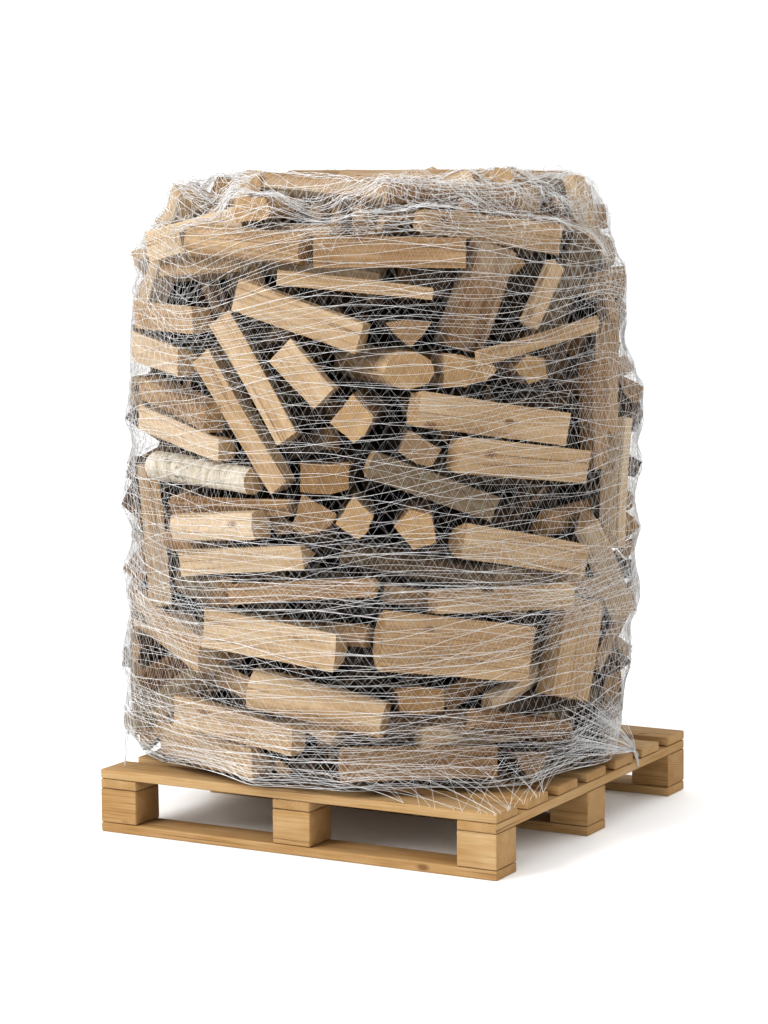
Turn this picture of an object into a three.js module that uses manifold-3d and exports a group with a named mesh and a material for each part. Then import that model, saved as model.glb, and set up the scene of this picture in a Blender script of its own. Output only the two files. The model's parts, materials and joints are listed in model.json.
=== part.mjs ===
// A drum-formed pallet load of split firewood, wrapped in white knitted net.
// Millimetres, +Z up. The origin is the centre of the pallet's underside, on the floor.
// The front of the load faces -Y. A turn is counted from the front towards the +X side.
import * as THREE from 'three';
import { ConvexGeometry } from 'three/addons/geometries/ConvexGeometry.js';
import { mergeVertices } from 'three/addons/utils/BufferGeometryUtils.js';
import Module from 'manifold-3d';

// ---- driving dimensions -------------------------------------------------------------
const PALLET_SIDE = 1000;      // square pallet
const BOARD = 22;              // thickness of every pallet board
const BLOCK_HEIGHT = 78;
const BLOCK_SIDE = 95;
const DECK_BOARDS = 7;
const DECK_BOARD_WIDTH = 100;
const GAP = 0.3;               // left between pieces that touch

const LOAD_SHIFT = -42;        // the load stands a little to the left of the pallet's centre
const NET_THICK = 2;
const NET_CLEAR = 3;           // from the wood's envelope to the inside of the net
const NET_OPENING = 300;       // radius of the hole that the net leaves on the top
const ROUND = 60;              // sides of the round pile and net
const POCKET_CLEAR = 1;        // room round each billet in the pile

const DECK_TOP = 2 * BOARD + BLOCK_HEIGHT + BOARD;
// The envelope of the wood: [height above the floor, radius], from the deck to the top.
const ENVELOPE = [
  [DECK_TOP + 2 * GAP, 552], [200, 588], [270, 600], [560, 604], [760, 594], [1000, 586],
  [1180, 576], [1290, 568], [1360, 556], [1410, 530], [1450, 488], [1482, 420],
];
const PILE_UNDER = 4;          // the pile's own skin lies this far inside the envelope

const WOOD = {
  pale: new THREE.MeshStandardMaterial({ color: 0xd8bd92, roughness: 0.85, metalness: 0 }),
  tan: new THREE.MeshStandardMaterial({ color: 0xc09a66, roughness: 0.85, metalness: 0 }),
  grey: new THREE.MeshStandardMaterial({ color: 0x8a8069, roughness: 0.9, metalness: 0 }),
  birch: new THREE.MeshStandardMaterial({ color: 0xe9e2d4, roughness: 0.75, metalness: 0 }),
  pile: new THREE.MeshStandardMaterial({ color: 0x9c7c52, roughness: 0.9, metalness: 0 }),
  pallet: new THREE.MeshStandardMaterial({ color: 0xd6ae6c, roughness: 0.8, metalness: 0 }),
};
const NET_WHITE = new THREE.MeshStandardMaterial({
  color: 0xf2f2ee, roughness: 0.6, metalness: 0, transparent: true, opacity: 0.35,
});

const load = new THREE.Group();

function add(name, geometry, material) {
  const mesh = new THREE.Mesh(geometry, material);
  mesh.name = name;
  load.add(mesh);
  return mesh;
}

// ---- pallet -------------------------------------------------------------------------
function palletPiece(name, width, deep, low, high, x, y) {
  const mesh = add(name, new THREE.BoxGeometry(width, deep, high - low), WOOD.pallet);
  mesh.position.set(x, y, (low + high) / 2);
}

function pallet() {
  const edge = (PALLET_SIDE - BLOCK_SIDE) / 2;
  const rows = [['front', -edge], ['middle', 0], ['back', edge]];
  const columns = [['left', -edge], ['centre', 0], ['right', edge]];
  const blockLow = BOARD;
  const stringerLow = blockLow + BLOCK_HEIGHT;
  const deckLow = stringerLow + BOARD;
  for (const [row, y] of rows) {
    palletPiece(`bottom_board_${row}`, PALLET_SIDE, BLOCK_SIDE, 0, BOARD - GAP, 0, y);
    for (const [column, x] of columns) {
      const name = `block_${row}_${column}`;
      palletPiece(name, BLOCK_SIDE, BLOCK_SIDE, blockLow, stringerLow - GAP, x, y);
    }
  }
  for (const [column, x] of columns) {
    palletPiece(`stringer_${column}`, BLOCK_SIDE, PALLET_SIDE, stringerLow, deckLow - GAP, x, 0);
  }
  const pitch = (PALLET_SIDE - DECK_BOARD_WIDTH) / (DECK_BOARDS - 1);
  for (let i = 0; i < DECK_BOARDS; i += 1) {
    const y = -PALLET_SIDE / 2 + DECK_BOARD_WIDTH / 2 + i * pitch;
    palletPiece(`deck_board_${i + 1}`, PALLET_SIDE, DECK_BOARD_WIDTH, deckLow, DECK_TOP, 0, y);
  }
}

// ---- the load's surface -------------------------------------------------------------
// Radius of the wood's envelope at a height, straight between the listed rings.
function radiusAt(height) {
  const last = ENVELOPE.length - 1;
  if (height <= ENVELOPE[0][0]) return ENVELOPE[0][1];
  for (let i = 0; i < last; i += 1) {
    const [z0, r0] = ENVELOPE[i];
    const [z1, r1] = ENVELOPE[i + 1];
    if (height <= z1) return r0 + (r1 - r0) * (height - z0) / (z1 - z0);
  }
  return ENVELOPE[last][1];
}

// ---- billets ------------------------------------------------------------------------
// Cross-sections of split wood: [across, depth] in shares of its width and thickness.
// Depth 0 is the face that looks out of the load.
const SECTIONS = {
  plank: [[-0.5, 0.06], [0.5, 0], [0.44, 0.85], [-0.1, 1], [-0.42, 0.9]],
  slab: [[-0.5, 0], [0.5, 0], [0.48, 0.38], [0.32, 0.78], [0, 1], [-0.33, 0.8], [-0.47, 0.4]],
  wedge: [[-0.5, 0.1], [0.5, 0], [0.5, 0.3], [0.05, 1]],
  ridge: [[-0.5, 0.45], [0.08, 0], [0.5, 0.38], [0.4, 0.9], [-0.3, 1]],
  log: [[-0.5, 0.5], [-0.4, 0.18], [-0.12, 0], [0.22, 0.05], [0.46, 0.3], [0.48, 0.62],
    [0.26, 0.92], [-0.08, 1], [-0.38, 0.84]],
};

const TAPER = 0.94;            // far end's size against the near end's, unless listed
const UNEVEN = 0.06;           // how much one corner's width differs from the next
const UNEVEN_CORNERS = 2.4;    // change of phase from corner to corner, in radians
const UNEVEN_ENDS = 5;         // change of phase from end to end
const CORNER_ROOM = 1.4;       // a corner moves out this much more than the walls beside it
const WAY_OUT = 150;           // how far a billet's pocket goes out past the pile

// Frame of a place on the load: out of it, along it towards +X of the front, and up.
function placeOn(turn) {
  const a = THREE.MathUtils.degToRad(turn);
  const out = new THREE.Vector3(Math.sin(a), -Math.cos(a), 0);
  const along = new THREE.Vector3(Math.cos(a), Math.sin(a), 0);
  return { out, along, up: new THREE.Vector3(0, 0, 1) };
}

// Rings of corner points at the two sawn ends. `start` is the centre of the first end's
// outer face; `axis`, `across` and `inward` are the billet's own directions.
function endRings(spec, start, axis, across, inward, grow) {
  const section = SECTIONS[spec.section];
  const middle = spec.thick / 2;
  return [0, 1].map((end) => {
    const scale = end ? spec.taper ?? TAPER : 1;
    const centre = start.clone().addScaledVector(axis, end ? spec.length + grow : -grow);
    return section.map(([a, d], k) => {
      const phase = UNEVEN_CORNERS * k + UNEVEN_ENDS * end + spec.turn;
      const wobble = 1 + UNEVEN * Math.sin(phase);
      const side = a * spec.wide * scale * wobble;
      const deep = middle + (d * spec.thick - middle) * scale;
      const far = Math.hypot(side, deep - middle) || 1;
      const push = 1 + grow / far * CORNER_ROOM;
      return centre.clone()
        .addScaledVector(across, side * push)
        .addScaledVector(inward, middle + (deep - middle) * push);
    });
  });
}

// A lying billet follows the surface: its two ends touch the envelope, less `depth`, and
// its outer face is a chord between them. `lean` tips its +X end up.
// An end-on billet shows its sawn end and runs in towards the load's axis; `yaw` turns it
// off that line, and `spin` turns it about its own length.
function billetRings(spec, grow = 0) {
  const { out, along, up } = placeOn(spec.turn);
  const rad = THREE.MathUtils.degToRad;
  const axle = new THREE.Vector3(LOAD_SHIFT, 0, spec.height);
  if (spec.endOn) {
    const axis = out.clone().negate().applyAxisAngle(up, rad(spec.yaw ?? 0));
    const across = up.clone().applyAxisAngle(axis, rad(spec.spin ?? 0));
    across.addScaledVector(axis, -across.dot(axis)).normalize();
    const inward = axis.clone().cross(across).normalize();
    const start = axle.addScaledVector(out, radiusAt(spec.height) - spec.depth)
      .addScaledVector(inward, -spec.thick / 2);
    return endRings(spec, start, axis, across, inward, grow);
  }
  const lean = rad(spec.lean);
  const axis = along.clone().applyAxisAngle(out, lean);
  const across = up.clone().applyAxisAngle(out, lean);
  const inward = out.clone().negate();
  const half = (spec.length * Math.cos(lean) + spec.wide * Math.abs(Math.sin(lean))) / 2;
  const rise = (spec.length * Math.abs(Math.sin(lean)) + spec.wide * Math.cos(lean)) / 2;
  const lowest = radiusAt(spec.height - rise);
  const limit = Math.min(lowest, radiusAt(spec.height), radiusAt(spec.height + rise));
  const reach = Math.sqrt((limit - spec.depth) ** 2 - half ** 2);
  const start = axle.addScaledVector(out, reach).addScaledVector(axis, -spec.length / 2);
  return endRings(spec, start, axis, across, inward, grow);
}

// Side walls between the two rings and a fan on each end, wound to face outwards.
function loft([first, second]) {
  const n = first.length;
  const points = [...first, ...second].flatMap((p) => [p.x, p.y, p.z]);
  const faces = [];
  for (let k = 0; k < n; k += 1) {
    const next = (k + 1) % n;
    faces.push(k, next, n + k, next, n + next, n + k);
  }
  for (let k = 1; k < n - 1; k += 1) faces.push(0, k + 1, k, n, n + k, n + k + 1);
  const geometry = new THREE.BufferGeometry();
  geometry.setAttribute('position', new THREE.Float32BufferAttribute(points, 3));
  geometry.setIndex(faces);
  return outward(geometry);
}

// Turns every face over if the solid came out inside out.
function outward(geometry) {
  const p = geometry.attributes.position;
  const index = Array.from(geometry.index.array);
  const corner = (i) => new THREE.Vector3().fromBufferAttribute(p, index[i]);
  let volume = 0;
  for (let i = 0; i < index.length; i += 3) {
    volume += corner(i).dot(corner(i + 1).cross(corner(i + 2)));
  }
  if (volume < 0) {
    for (let i = 0; i < index.length; i += 3) {
      [index[i + 1], index[i + 2]] = [index[i + 2], index[i + 1]];
    }
    geometry.setIndex(index);
  }
  return geometry;
}

// The billets that show best, from the top rim down. Turn and lean are in degrees.
const BILLETS = [
  { name: 'top_long', turn: 50, height: 1420, depth: 4, length: 305, lean: -3, wide: 62,
    thick: 58, section: 'log', wood: 'tan' },
  { name: 'top_chunk', turn: -4, height: 1398, depth: 32, length: 330, endOn: true, wide: 58,
    thick: 104, section: 'plank', wood: 'tan' },
  { name: 'knot_plank', turn: 57, height: 1348, depth: 3, length: 340, lean: -8, wide: 52,
    thick: 46, section: 'plank', taper: 1.35, wood: 'pale' },
  { name: 'rim_log', turn: -6, height: 1322, depth: 2, length: 305, lean: -4, wide: 78,
    thick: 72, section: 'log', wood: 'tan' },
  { name: 'flat_long', turn: 31, height: 1305, depth: 3, length: 320, lean: -1, wide: 72,
    thick: 60, section: 'slab', wood: 'tan' },
  { name: 'thin_taper', turn: 23, height: 1236, depth: 4, length: 330, lean: -6, wide: 38,
    thick: 46, section: 'wedge', taper: 0.8, wood: 'pale' },
  { name: 'slant_short', turn: 68, height: 1212, depth: 3, length: 150, lean: 58, wide: 48,
    thick: 40, section: 'plank', wood: 'pale' },
  { name: 'flat_wedge', turn: 9.8, height: 1174, depth: 3, length: 293, lean: -18, wide: 76,
    thick: 66, section: 'plank', wood: 'pale' },
  { name: 'left_face', turn: -33, height: 1160, depth: 3, length: 315, lean: 0, wide: 68,
    thick: 58, section: 'plank', wood: 'pale' },
  { name: 'stick', turn: 68, height: 1113, depth: 2, length: 350, lean: 10, wide: 44,
    thick: 25, section: 'ridge', wood: 'pale' },
  { name: 'left_pale', turn: -38, height: 1078, depth: 4, length: 320, lean: -4, wide: 72,
    thick: 60, section: 'slab', wood: 'pale' },
  { name: 'diag_short', turn: 11.5, height: 1052, depth: 4, length: 140, lean: -46, wide: 74,
    thick: 62, section: 'plank', wood: 'pale' },
  { name: 'diag_upper', turn: -0.5, height: 1042, depth: 3, length: 302, lean: -57, wide: 64,
    thick: 60, section: 'slab', wood: 'pale' },
  { name: 'end_round', turn: 35, height: 1060, depth: 24, length: 330, endOn: true, yaw: 14.5,
    wide: 84, thick: 116, section: 'log', wood: 'pale' },
  { name: 'end_wide', turn: 49.5, height: 1056, depth: 46, length: 330, endOn: true, wide: 76,
    thick: 128, section: 'slab', wood: 'pale' },
  { name: 'end_small', turn: 65.5, height: 1052, depth: 48, length: 325, endOn: true, yaw: -13,
    wide: 66, thick: 88, section: 'ridge', wood: 'tan' },
  { name: 'side_upright', turn: 86, height: 940, depth: 4, length: 230, lean: -88, wide: 70,
    thick: 52, section: 'plank', wood: 'tan' },
  { name: 'big_plank', turn: 55, height: 950, depth: 3, length: 366, lean: -9, wide: 82,
    thick: 62, section: 'plank', wood: 'pale' },
  { name: 'diamond_end', turn: 23, height: 958, depth: 10, length: 330, endOn: true, spin: 42,
    wide: 84, thick: 84, section: 'plank', wood: 'tan' },
  { name: 'diag_lower', turn: -4, height: 950, depth: 3, length: 340, lean: -54, wide: 58,
    thick: 58, section: 'plank', wood: 'pale' },
  { name: 'pale_over', turn: -25, height: 910, depth: 4, length: 330, lean: -9, wide: 62,
    thick: 56, section: 'plank', wood: 'pale' },
  { name: 'second_plank', turn: 62.5, height: 856, depth: 3, length: 342, lean: -8, wide: 82,
    thick: 60, section: 'plank', wood: 'pale' },
  { name: 'birch', turn: -18, height: 828, depth: 2, length: 335, lean: -2, wide: 68,
    thick: 64, section: 'log', wood: 'birch' },
  { name: 'grey_diag', turn: 40, height: 814, depth: 12, length: 290, lean: -21, wide: 62,
    thick: 54, section: 'slab', wood: 'grey' },
  { name: 'under_birch', turn: -8, height: 764, depth: 4, length: 334, lean: 2, wide: 44,
    thick: 52, section: 'ridge', wood: 'tan' },
  { name: 'diamond', turn: 23.5, height: 748, depth: 6, length: 330, endOn: true, spin: 38,
    yaw: 6, wide: 74, thick: 74, section: 'plank', wood: 'pale' },
  { name: 'square_end', turn: 35.5, height: 726, depth: 8, length: 325, endOn: true, yaw: -7,
    wide: 92, thick: 96, section: 'ridge', wood: 'tan' },
  { name: 'low_plank', turn: 62, height: 664, depth: 3, length: 332, lean: -12, wide: 80,
    thick: 66, section: 'slab', wood: 'pale' },
  { name: 'pale_wedge', turn: -4, height: 650, depth: 3, length: 325, lean: 6, wide: 60,
    thick: 64, section: 'wedge', wood: 'pale' },
  { name: 'tan_wedge', turn: 11, height: 590, depth: 4, length: 330, lean: 5, wide: 52,
    thick: 58, section: 'wedge', taper: 0.85, wood: 'tan' },
  { name: 'wide_pale', turn: 3.5, height: 486, depth: 2, length: 318, lean: -6, wide: 94,
    thick: 70, section: 'slab', wood: 'pale' },
  { name: 'cracked', turn: 45, height: 470, depth: 2, length: 335, lean: -9, wide: 132,
    thick: 78, section: 'slab', wood: 'pale' },
  { name: 'long_round', turn: 13.7, height: 346, depth: 2, length: 302, lean: -11, wide: 94,
    thick: 82, section: 'log', wood: 'pale' },
  { name: 'short_low', turn: -7.5, height: 284, depth: 6, length: 330, lean: -6, wide: 72,
    thick: 62, section: 'plank', wood: 'pale' },
  { name: 'base_front', turn: 37, height: 216, depth: 4, length: 337, lean: -1, wide: 80,
    thick: 66, section: 'slab', wood: 'tan' },
  { name: 'base_left', turn: -20, height: 208, depth: 4, length: 330, lean: -2, wide: 84,
    thick: 70, section: 'wedge', wood: 'pale' },
];

function billets() {
  for (const spec of BILLETS) add(`billet_${spec.name}`, loft(billetRings(spec)), WOOD[spec.wood]);
}

// ---- the rest of the wood and the net -----------------------------------------------
// A profile of [radius, height] points turned about the load's axis.
function turned(profile) {
  const points = profile.map(([r, z]) => new THREE.Vector2(r, z));
  const geometry = new THREE.LatheGeometry(points, ROUND);
  geometry.rotateX(Math.PI / 2);
  geometry.translate(LOAD_SHIFT, 0, 0);
  geometry.deleteAttribute('normal');
  geometry.deleteAttribute('uv');
  return outward(mergeVertices(geometry, 0.01));
}

const wasm = await Module();
wasm.setup();

function solidOf(geometry) {
  return new wasm.Manifold(new wasm.Mesh({
    numProp: 3,
    vertProperties: new Float32Array(geometry.attributes.position.array),
    triVerts: new Uint32Array(geometry.index.array),
  }));
}

function geometryOf(solid) {
  const mesh = solid.getMesh();
  const geometry = new THREE.BufferGeometry();
  geometry.setAttribute('position', new THREE.Float32BufferAttribute(mesh.vertProperties, 3));
  geometry.setIndex(Array.from(mesh.triVerts));
  return geometry;
}

// The room that one billet takes: its own shape grown a little, and the way out of it.
function pocket(spec) {
  const { out } = placeOn(spec.turn);
  const grown = billetRings(spec, POCKET_CLEAR).flat();
  const outside = grown.map((p) => p.clone().addScaledVector(out, WAY_OUT));
  const hull = new ConvexGeometry([...grown, ...outside]);
  hull.deleteAttribute('normal');
  return solidOf(outward(mergeVertices(hull, 0.001)));
}

// Every billet that has no node of its own, as one solid that reaches their tips.
function pile() {
  const wall = ENVELOPE.map(([z, r]) => [r - PILE_UNDER, z]);
  const top = wall[wall.length - 1][1];
  let solid = solidOf(turned([[0, wall[0][1]], ...wall, [0, top]]));
  for (const spec of BILLETS) solid = solid.subtract(pocket(spec));
  const parts = solid.decompose();
  parts.sort((a, b) => b.volume() - a.volume());
  add('billet_pile', geometryOf(parts[0]), WOOD.pile);
}

// The net's wall goes up the side, over the rim and in to the opening on the top.
function net() {
  const rise = NET_CLEAR + NET_THICK;
  const [topHeight] = ENVELOPE[ENVELOPE.length - 1];
  const inner = ENVELOPE.map(([z, r]) => [r + NET_CLEAR, z]);
  const outer = ENVELOPE.map(([z, r]) => [r + rise, z]);
  inner.push([NET_OPENING, topHeight + NET_CLEAR]);
  outer.push([NET_OPENING, topHeight + rise]);
  inner[ENVELOPE.length - 1][1] += NET_CLEAR;
  outer[ENVELOPE.length - 1][1] += rise;
  add('net', turned([...inner, ...outer.reverse(), inner[0]]), NET_WHITE);
}

pallet();
billets();
pile();
net();

export default load;
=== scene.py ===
"""Looks of a round, netted pallet load of split firewood.

The wood is made of billets: each is a split outline carried along a slightly bent axis. The
billets that have a CAD node keep its place and size; the others are packed round them inside
the same envelope. The net is made of thin closed threads laid on the taut skin of the wood.
Lengths are metres. The front faces -Y, and angles are counted from the front towards +X.
"""
import json
import math

import bpy
import numpy as np
from mathutils import Matrix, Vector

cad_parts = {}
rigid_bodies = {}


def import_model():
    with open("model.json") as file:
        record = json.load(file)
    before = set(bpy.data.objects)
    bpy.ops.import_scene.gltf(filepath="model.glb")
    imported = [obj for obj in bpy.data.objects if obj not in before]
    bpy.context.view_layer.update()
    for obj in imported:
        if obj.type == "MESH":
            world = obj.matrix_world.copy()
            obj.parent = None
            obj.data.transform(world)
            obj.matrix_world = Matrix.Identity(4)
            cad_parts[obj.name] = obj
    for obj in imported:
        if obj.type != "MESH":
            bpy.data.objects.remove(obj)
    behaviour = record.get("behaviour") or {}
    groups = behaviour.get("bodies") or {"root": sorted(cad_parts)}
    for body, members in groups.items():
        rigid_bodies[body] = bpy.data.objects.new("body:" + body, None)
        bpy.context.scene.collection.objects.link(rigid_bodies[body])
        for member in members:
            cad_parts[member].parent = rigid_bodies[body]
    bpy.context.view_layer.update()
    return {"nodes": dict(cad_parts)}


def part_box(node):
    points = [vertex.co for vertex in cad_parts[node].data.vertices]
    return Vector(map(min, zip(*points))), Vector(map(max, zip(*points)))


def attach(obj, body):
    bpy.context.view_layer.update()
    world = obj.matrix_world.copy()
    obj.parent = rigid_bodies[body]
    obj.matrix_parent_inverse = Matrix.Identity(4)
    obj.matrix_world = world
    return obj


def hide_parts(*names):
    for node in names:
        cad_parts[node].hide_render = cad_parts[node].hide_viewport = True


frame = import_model()
rng = np.random.default_rng(33)
MM = 0.001
TURN = 2 * math.pi


# ---- meshes from arrays ---------------------------------------------------------------
def surface(name, points, quads, triangles, materials, finish=None, smooth_below=None):
    """A mesh object from whole arrays: corner points, four-sided and three-sided faces.

    `finish` gives each face its material's number. Edges that turn less than
    `smooth_below` radians are shaded smooth."""
    quads, triangles = quads.reshape(-1, 4), triangles.reshape(-1, 3)
    mesh = bpy.data.meshes.new(name)
    corners = np.concatenate([quads.ravel(), triangles.ravel()]).astype(np.int32)
    starts = np.concatenate([
        np.arange(len(quads)) * 4,
        len(quads) * 4 + np.arange(len(triangles)) * 3,
    ]).astype(np.int32)
    mesh.vertices.add(len(points))
    mesh.vertices.foreach_set("co", np.ascontiguousarray(points, np.float32).ravel())
    mesh.loops.add(len(corners))
    mesh.loops.foreach_set("vertex_index", corners)
    mesh.polygons.add(len(starts))
    mesh.polygons.foreach_set("loop_start", starts)
    for material in materials:
        mesh.materials.append(material)
    if finish is not None:
        mesh.polygons.foreach_set("material_index", np.asarray(finish, np.int32))
    mesh.update(calc_edges=True)
    if smooth_below is not None:
        mesh.polygons.foreach_set("use_smooth", np.ones(len(starts), bool))
        mesh.set_sharp_from_angle(angle=smooth_below)
    piece = bpy.data.objects.new(name, mesh)
    bpy.context.scene.collection.objects.link(piece)
    return piece


def points_of(mesh):
    """A mesh's corner points as an array."""
    points = np.zeros(len(mesh.vertices) * 3, np.float32)
    mesh.vertices.foreach_get("co", points)
    return points.reshape(-1, 3)


def write_vectors(piece, name, values):
    """Stores one vector for each corner point, for a material to read."""
    layer = piece.data.attributes.new(name, "FLOAT_VECTOR", "POINT")
    layer.data.foreach_set("vector", np.ascontiguousarray(values, np.float32).ravel())


def unit(v):
    """Vectors scaled to a length of one."""
    return v / np.maximum(np.linalg.norm(v, axis=-1, keepdims=True), 1e-12)


def turned(angle):
    """The directions out of the load, round it and up, at an angle from the front."""
    zero, one = np.zeros_like(angle), np.ones_like(angle)
    out = np.stack([np.sin(angle), -np.cos(angle), zero], -1)
    along = np.stack([np.cos(angle), np.sin(angle), zero], -1)
    return out, along, np.stack([zero, zero, one], -1)


# ---- node materials -------------------------------------------------------------------
class Finish:
    """A procedural material: its nodes are added by kind, and linked as they are made."""

    def __init__(self, name, roughness, specular=0.25):
        self.material = bpy.data.materials.new(name)
        self.material.use_nodes = True
        self.tree = self.material.node_tree
        self.shader = self.tree.nodes["Principled BSDF"]
        self.shader.inputs["Roughness"].default_value = roughness
        self.shader.inputs["Specular IOR Level"].default_value = specular

    def node(self, kind, out=0, settings=(), **inputs):
        """Adds a node. Its inputs go by name, or by number as i0, i1 and so on."""
        made = self.tree.nodes.new(kind)
        for key, value in dict(settings).items():
            setattr(made, key, value)
        for key, value in inputs.items():
            numbered = key[0] == "i" and key[1:].isdigit()
            socket = made.inputs[int(key[1:]) if numbered else key]
            if isinstance(value, bpy.types.NodeSocket):
                self.tree.links.new(value, socket)
            else:
                socket.default_value = value
        return made.outputs[out]

    def attribute(self, name):
        """A vector stored on the piece's corner points."""
        return self.node("ShaderNodeAttribute", out=1, settings={"attribute_name": name})

    def place(self):
        """The point on the object, in metres."""
        return self.node("ShaderNodeTexCoord", out=3)

    def stretched(self, vector, scale, shift=(0.0, 0.0, 0.0)):
        """A vector scaled on each axis, so that a pattern is as fine as that, and moved."""
        return self.node("ShaderNodeMapping", Vector=vector, Scale=scale, Location=shift)

    def noise(self, vector, detail=3.0, rough=0.55, twist=0.0):
        return self.node("ShaderNodeTexNoise", Vector=vector, Scale=1.0, Detail=detail,
                         Roughness=rough, Distortion=twist)

    def spots(self, vector):
        return self.node("ShaderNodeTexVoronoi", Vector=vector, Scale=1.0)

    def math(self, what, a, b=0.0, c=0.0):
        return self.node("ShaderNodeMath", settings={"operation": what}, i0=a, i1=b, i2=c)

    def between(self, value, low, high, to_low=0.0, to_high=1.0):
        """A smooth step from one number to another as value goes from low to high."""
        return self.node("ShaderNodeMapRange", settings={"interpolation_type": "SMOOTHSTEP"},
                         i0=value, i1=low, i2=high, i3=to_low, i4=to_high)

    def ramp(self, value, stops):
        """Colours along a value from 0 to 1, blended between the stops."""
        made = self.tree.nodes.new("ShaderNodeValToRGB")
        self.tree.links.new(value, made.inputs[0])
        marks = made.color_ramp.elements
        while len(marks) < len(stops):
            marks.new(0.5)
        for mark, (at, colour) in zip(marks, stops):
            mark.position = at
            mark.color = (*colour, 1.0)
        return made.outputs[0]

    def mix(self, share, a, b):
        """Colour a where share is 0 and colour b where it is 1."""
        made = self.tree.nodes.new("ShaderNodeMix")
        made.data_type = "RGBA"
        for key, value in ((0, share), (6, a), (7, b)):
            if isinstance(value, bpy.types.NodeSocket):
                self.tree.links.new(value, made.inputs[key])
            else:
                made.inputs[key].default_value = value if key == 0 else (*value, 1.0)
        return made.outputs[2]

    def parts(self, vector):
        """A vector's three numbers."""
        split = self.tree.nodes.new("ShaderNodeSeparateXYZ")
        self.tree.links.new(vector, split.inputs[0])
        return split.outputs[0], split.outputs[1], split.outputs[2]

    def finish(self, colour, height, depth, strength=0.6):
        """Links the colour, and the height as a bump that is `depth` metres deep."""
        self.tree.links.new(colour, self.shader.inputs["Base Color"])
        bump = self.node("ShaderNodeBump", Strength=strength, Distance=depth, Height=height)
        self.tree.links.new(bump, self.shader.inputs["Normal"])
        return self.material


def rings_of(make, grain, spacing):
    """Growth rings: a wave of the distance from the log's heart, a little out of round."""
    _, p, q = make.parts(grain)
    wobble = make.noise(make.stretched(grain, (4, 22, 22)), detail=2)
    far = make.math("SQRT", make.math("ADD", make.math("MULTIPLY", p, p),
                                      make.math("MULTIPLY", q, q)))
    far = make.math("ADD", far, make.math("MULTIPLY", wobble, 0.012))
    wave = make.math("SINE", make.math("MULTIPLY", far, TURN / spacing))
    return make.math("MULTIPLY_ADD", wave, 0.5, 0.5)


def split_wood(name, stops, grey=(0.30, 0.26, 0.21)):
    """A split face: long fibres, broad streaks and growth bands, knots and dull patches."""
    make = Finish(name, roughness=0.78)
    grain, tint = make.attribute("grain"), make.attribute("tint")
    tone, dull, _ = make.parts(tint)
    fibres = make.noise(make.stretched(grain, (9, 520, 520)), detail=5, rough=0.65)
    strands = make.noise(make.stretched(grain, (3.5, 130, 130)), detail=3, twist=0.4)
    patches = make.noise(make.stretched(grain, (5, 18, 18), (3, 1, 2)), detail=2)
    rings = rings_of(make, grain, 0.0045)
    mixed = make.math("MULTIPLY_ADD", fibres, 0.40, make.math("MULTIPLY", strands, 0.24))
    mixed = make.math("MULTIPLY_ADD", rings, 0.06, mixed)
    mixed = make.math("MULTIPLY_ADD", patches, 0.34, mixed)
    mixed = make.math("MULTIPLY_ADD", mixed, 2.2, -0.60)
    mixed = make.math("ADD", mixed, make.math("MULTIPLY_ADD", tone, 0.80, -0.43))
    colour = make.ramp(mixed, stops)
    split_lines = make.between(make.noise(make.stretched(grain, (2.2, 210, 210), (5, 5, 5)),
                                          detail=2), 0.62, 0.69)
    colour = make.mix(make.math("MULTIPLY", split_lines, 0.7), colour, (0.12, 0.065, 0.030))
    weathered = make.math("MULTIPLY", make.between(patches, 0.35, 0.7), dull)
    colour = make.mix(weathered, colour, grey)
    height = make.math("MULTIPLY_ADD", fibres, 0.5, make.math("MULTIPLY", strands, 0.9))
    height = make.math("SUBTRACT", height, make.math("MULTIPLY", split_lines, 0.5))
    knot = make.between(make.spots(make.stretched(grain, (7, 15, 15))), 0.05, 0.15, 1, 0)
    colour = make.mix(make.math("MULTIPLY", knot, 0.8), colour, (0.13, 0.06, 0.025))
    return make.finish(colour, height, 2.2 * MM, strength=0.75)


def sawn_end(name, stops, dark=(0.20, 0.11, 0.05)):
    """A saw-cut end: growth rings, drying cracks out from the heart and fine saw marks."""
    make = Finish(name, roughness=0.82)
    grain, tint = make.attribute("grain"), make.attribute("tint")
    tone, dull, _ = make.parts(tint)
    _, p, q = make.parts(grain)
    rings = rings_of(make, grain, 0.0038)
    speckle = make.noise(make.stretched(grain, (40, 260, 260)), detail=4, rough=0.7)
    cloud = make.noise(make.stretched(grain, (10, 26, 26)), detail=2)
    angle = make.math("ARCTAN2", q, p)
    ray = make.noise(make.node("ShaderNodeCombineXYZ", i0=make.math("MULTIPLY", angle, 5.0),
                               i1=0.0, i2=0.0), detail=3)
    cracks = make.between(ray, 0.66, 0.72)
    mixed = make.math("MULTIPLY_ADD", rings, 0.26, make.math("MULTIPLY", speckle, 0.35))
    mixed = make.math("MULTIPLY_ADD", cloud, 0.4, mixed)
    mixed = make.math("MULTIPLY_ADD", mixed, 1.5, -0.28)
    mixed = make.math("ADD", mixed, make.math("MULTIPLY_ADD", tone, 0.50, -0.28))
    colour = make.ramp(mixed, stops)
    colour = make.mix(make.math("MULTIPLY", cracks, 0.55), colour, dark)
    colour = make.mix(make.math("MULTIPLY", dull, 0.5), colour, (0.27, 0.22, 0.17))
    saw = make.math("SINE", make.math("MULTIPLY_ADD", p, TURN / 0.0035,
                                      make.math("MULTIPLY", q, 600.0)))
    height = make.math("MULTIPLY_ADD", saw, 0.12, make.math("MULTIPLY", speckle, 0.7))
    height = make.math("SUBTRACT", height, cracks)
    return make.finish(colour, height, 1.2 * MM, strength=0.6)


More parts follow.
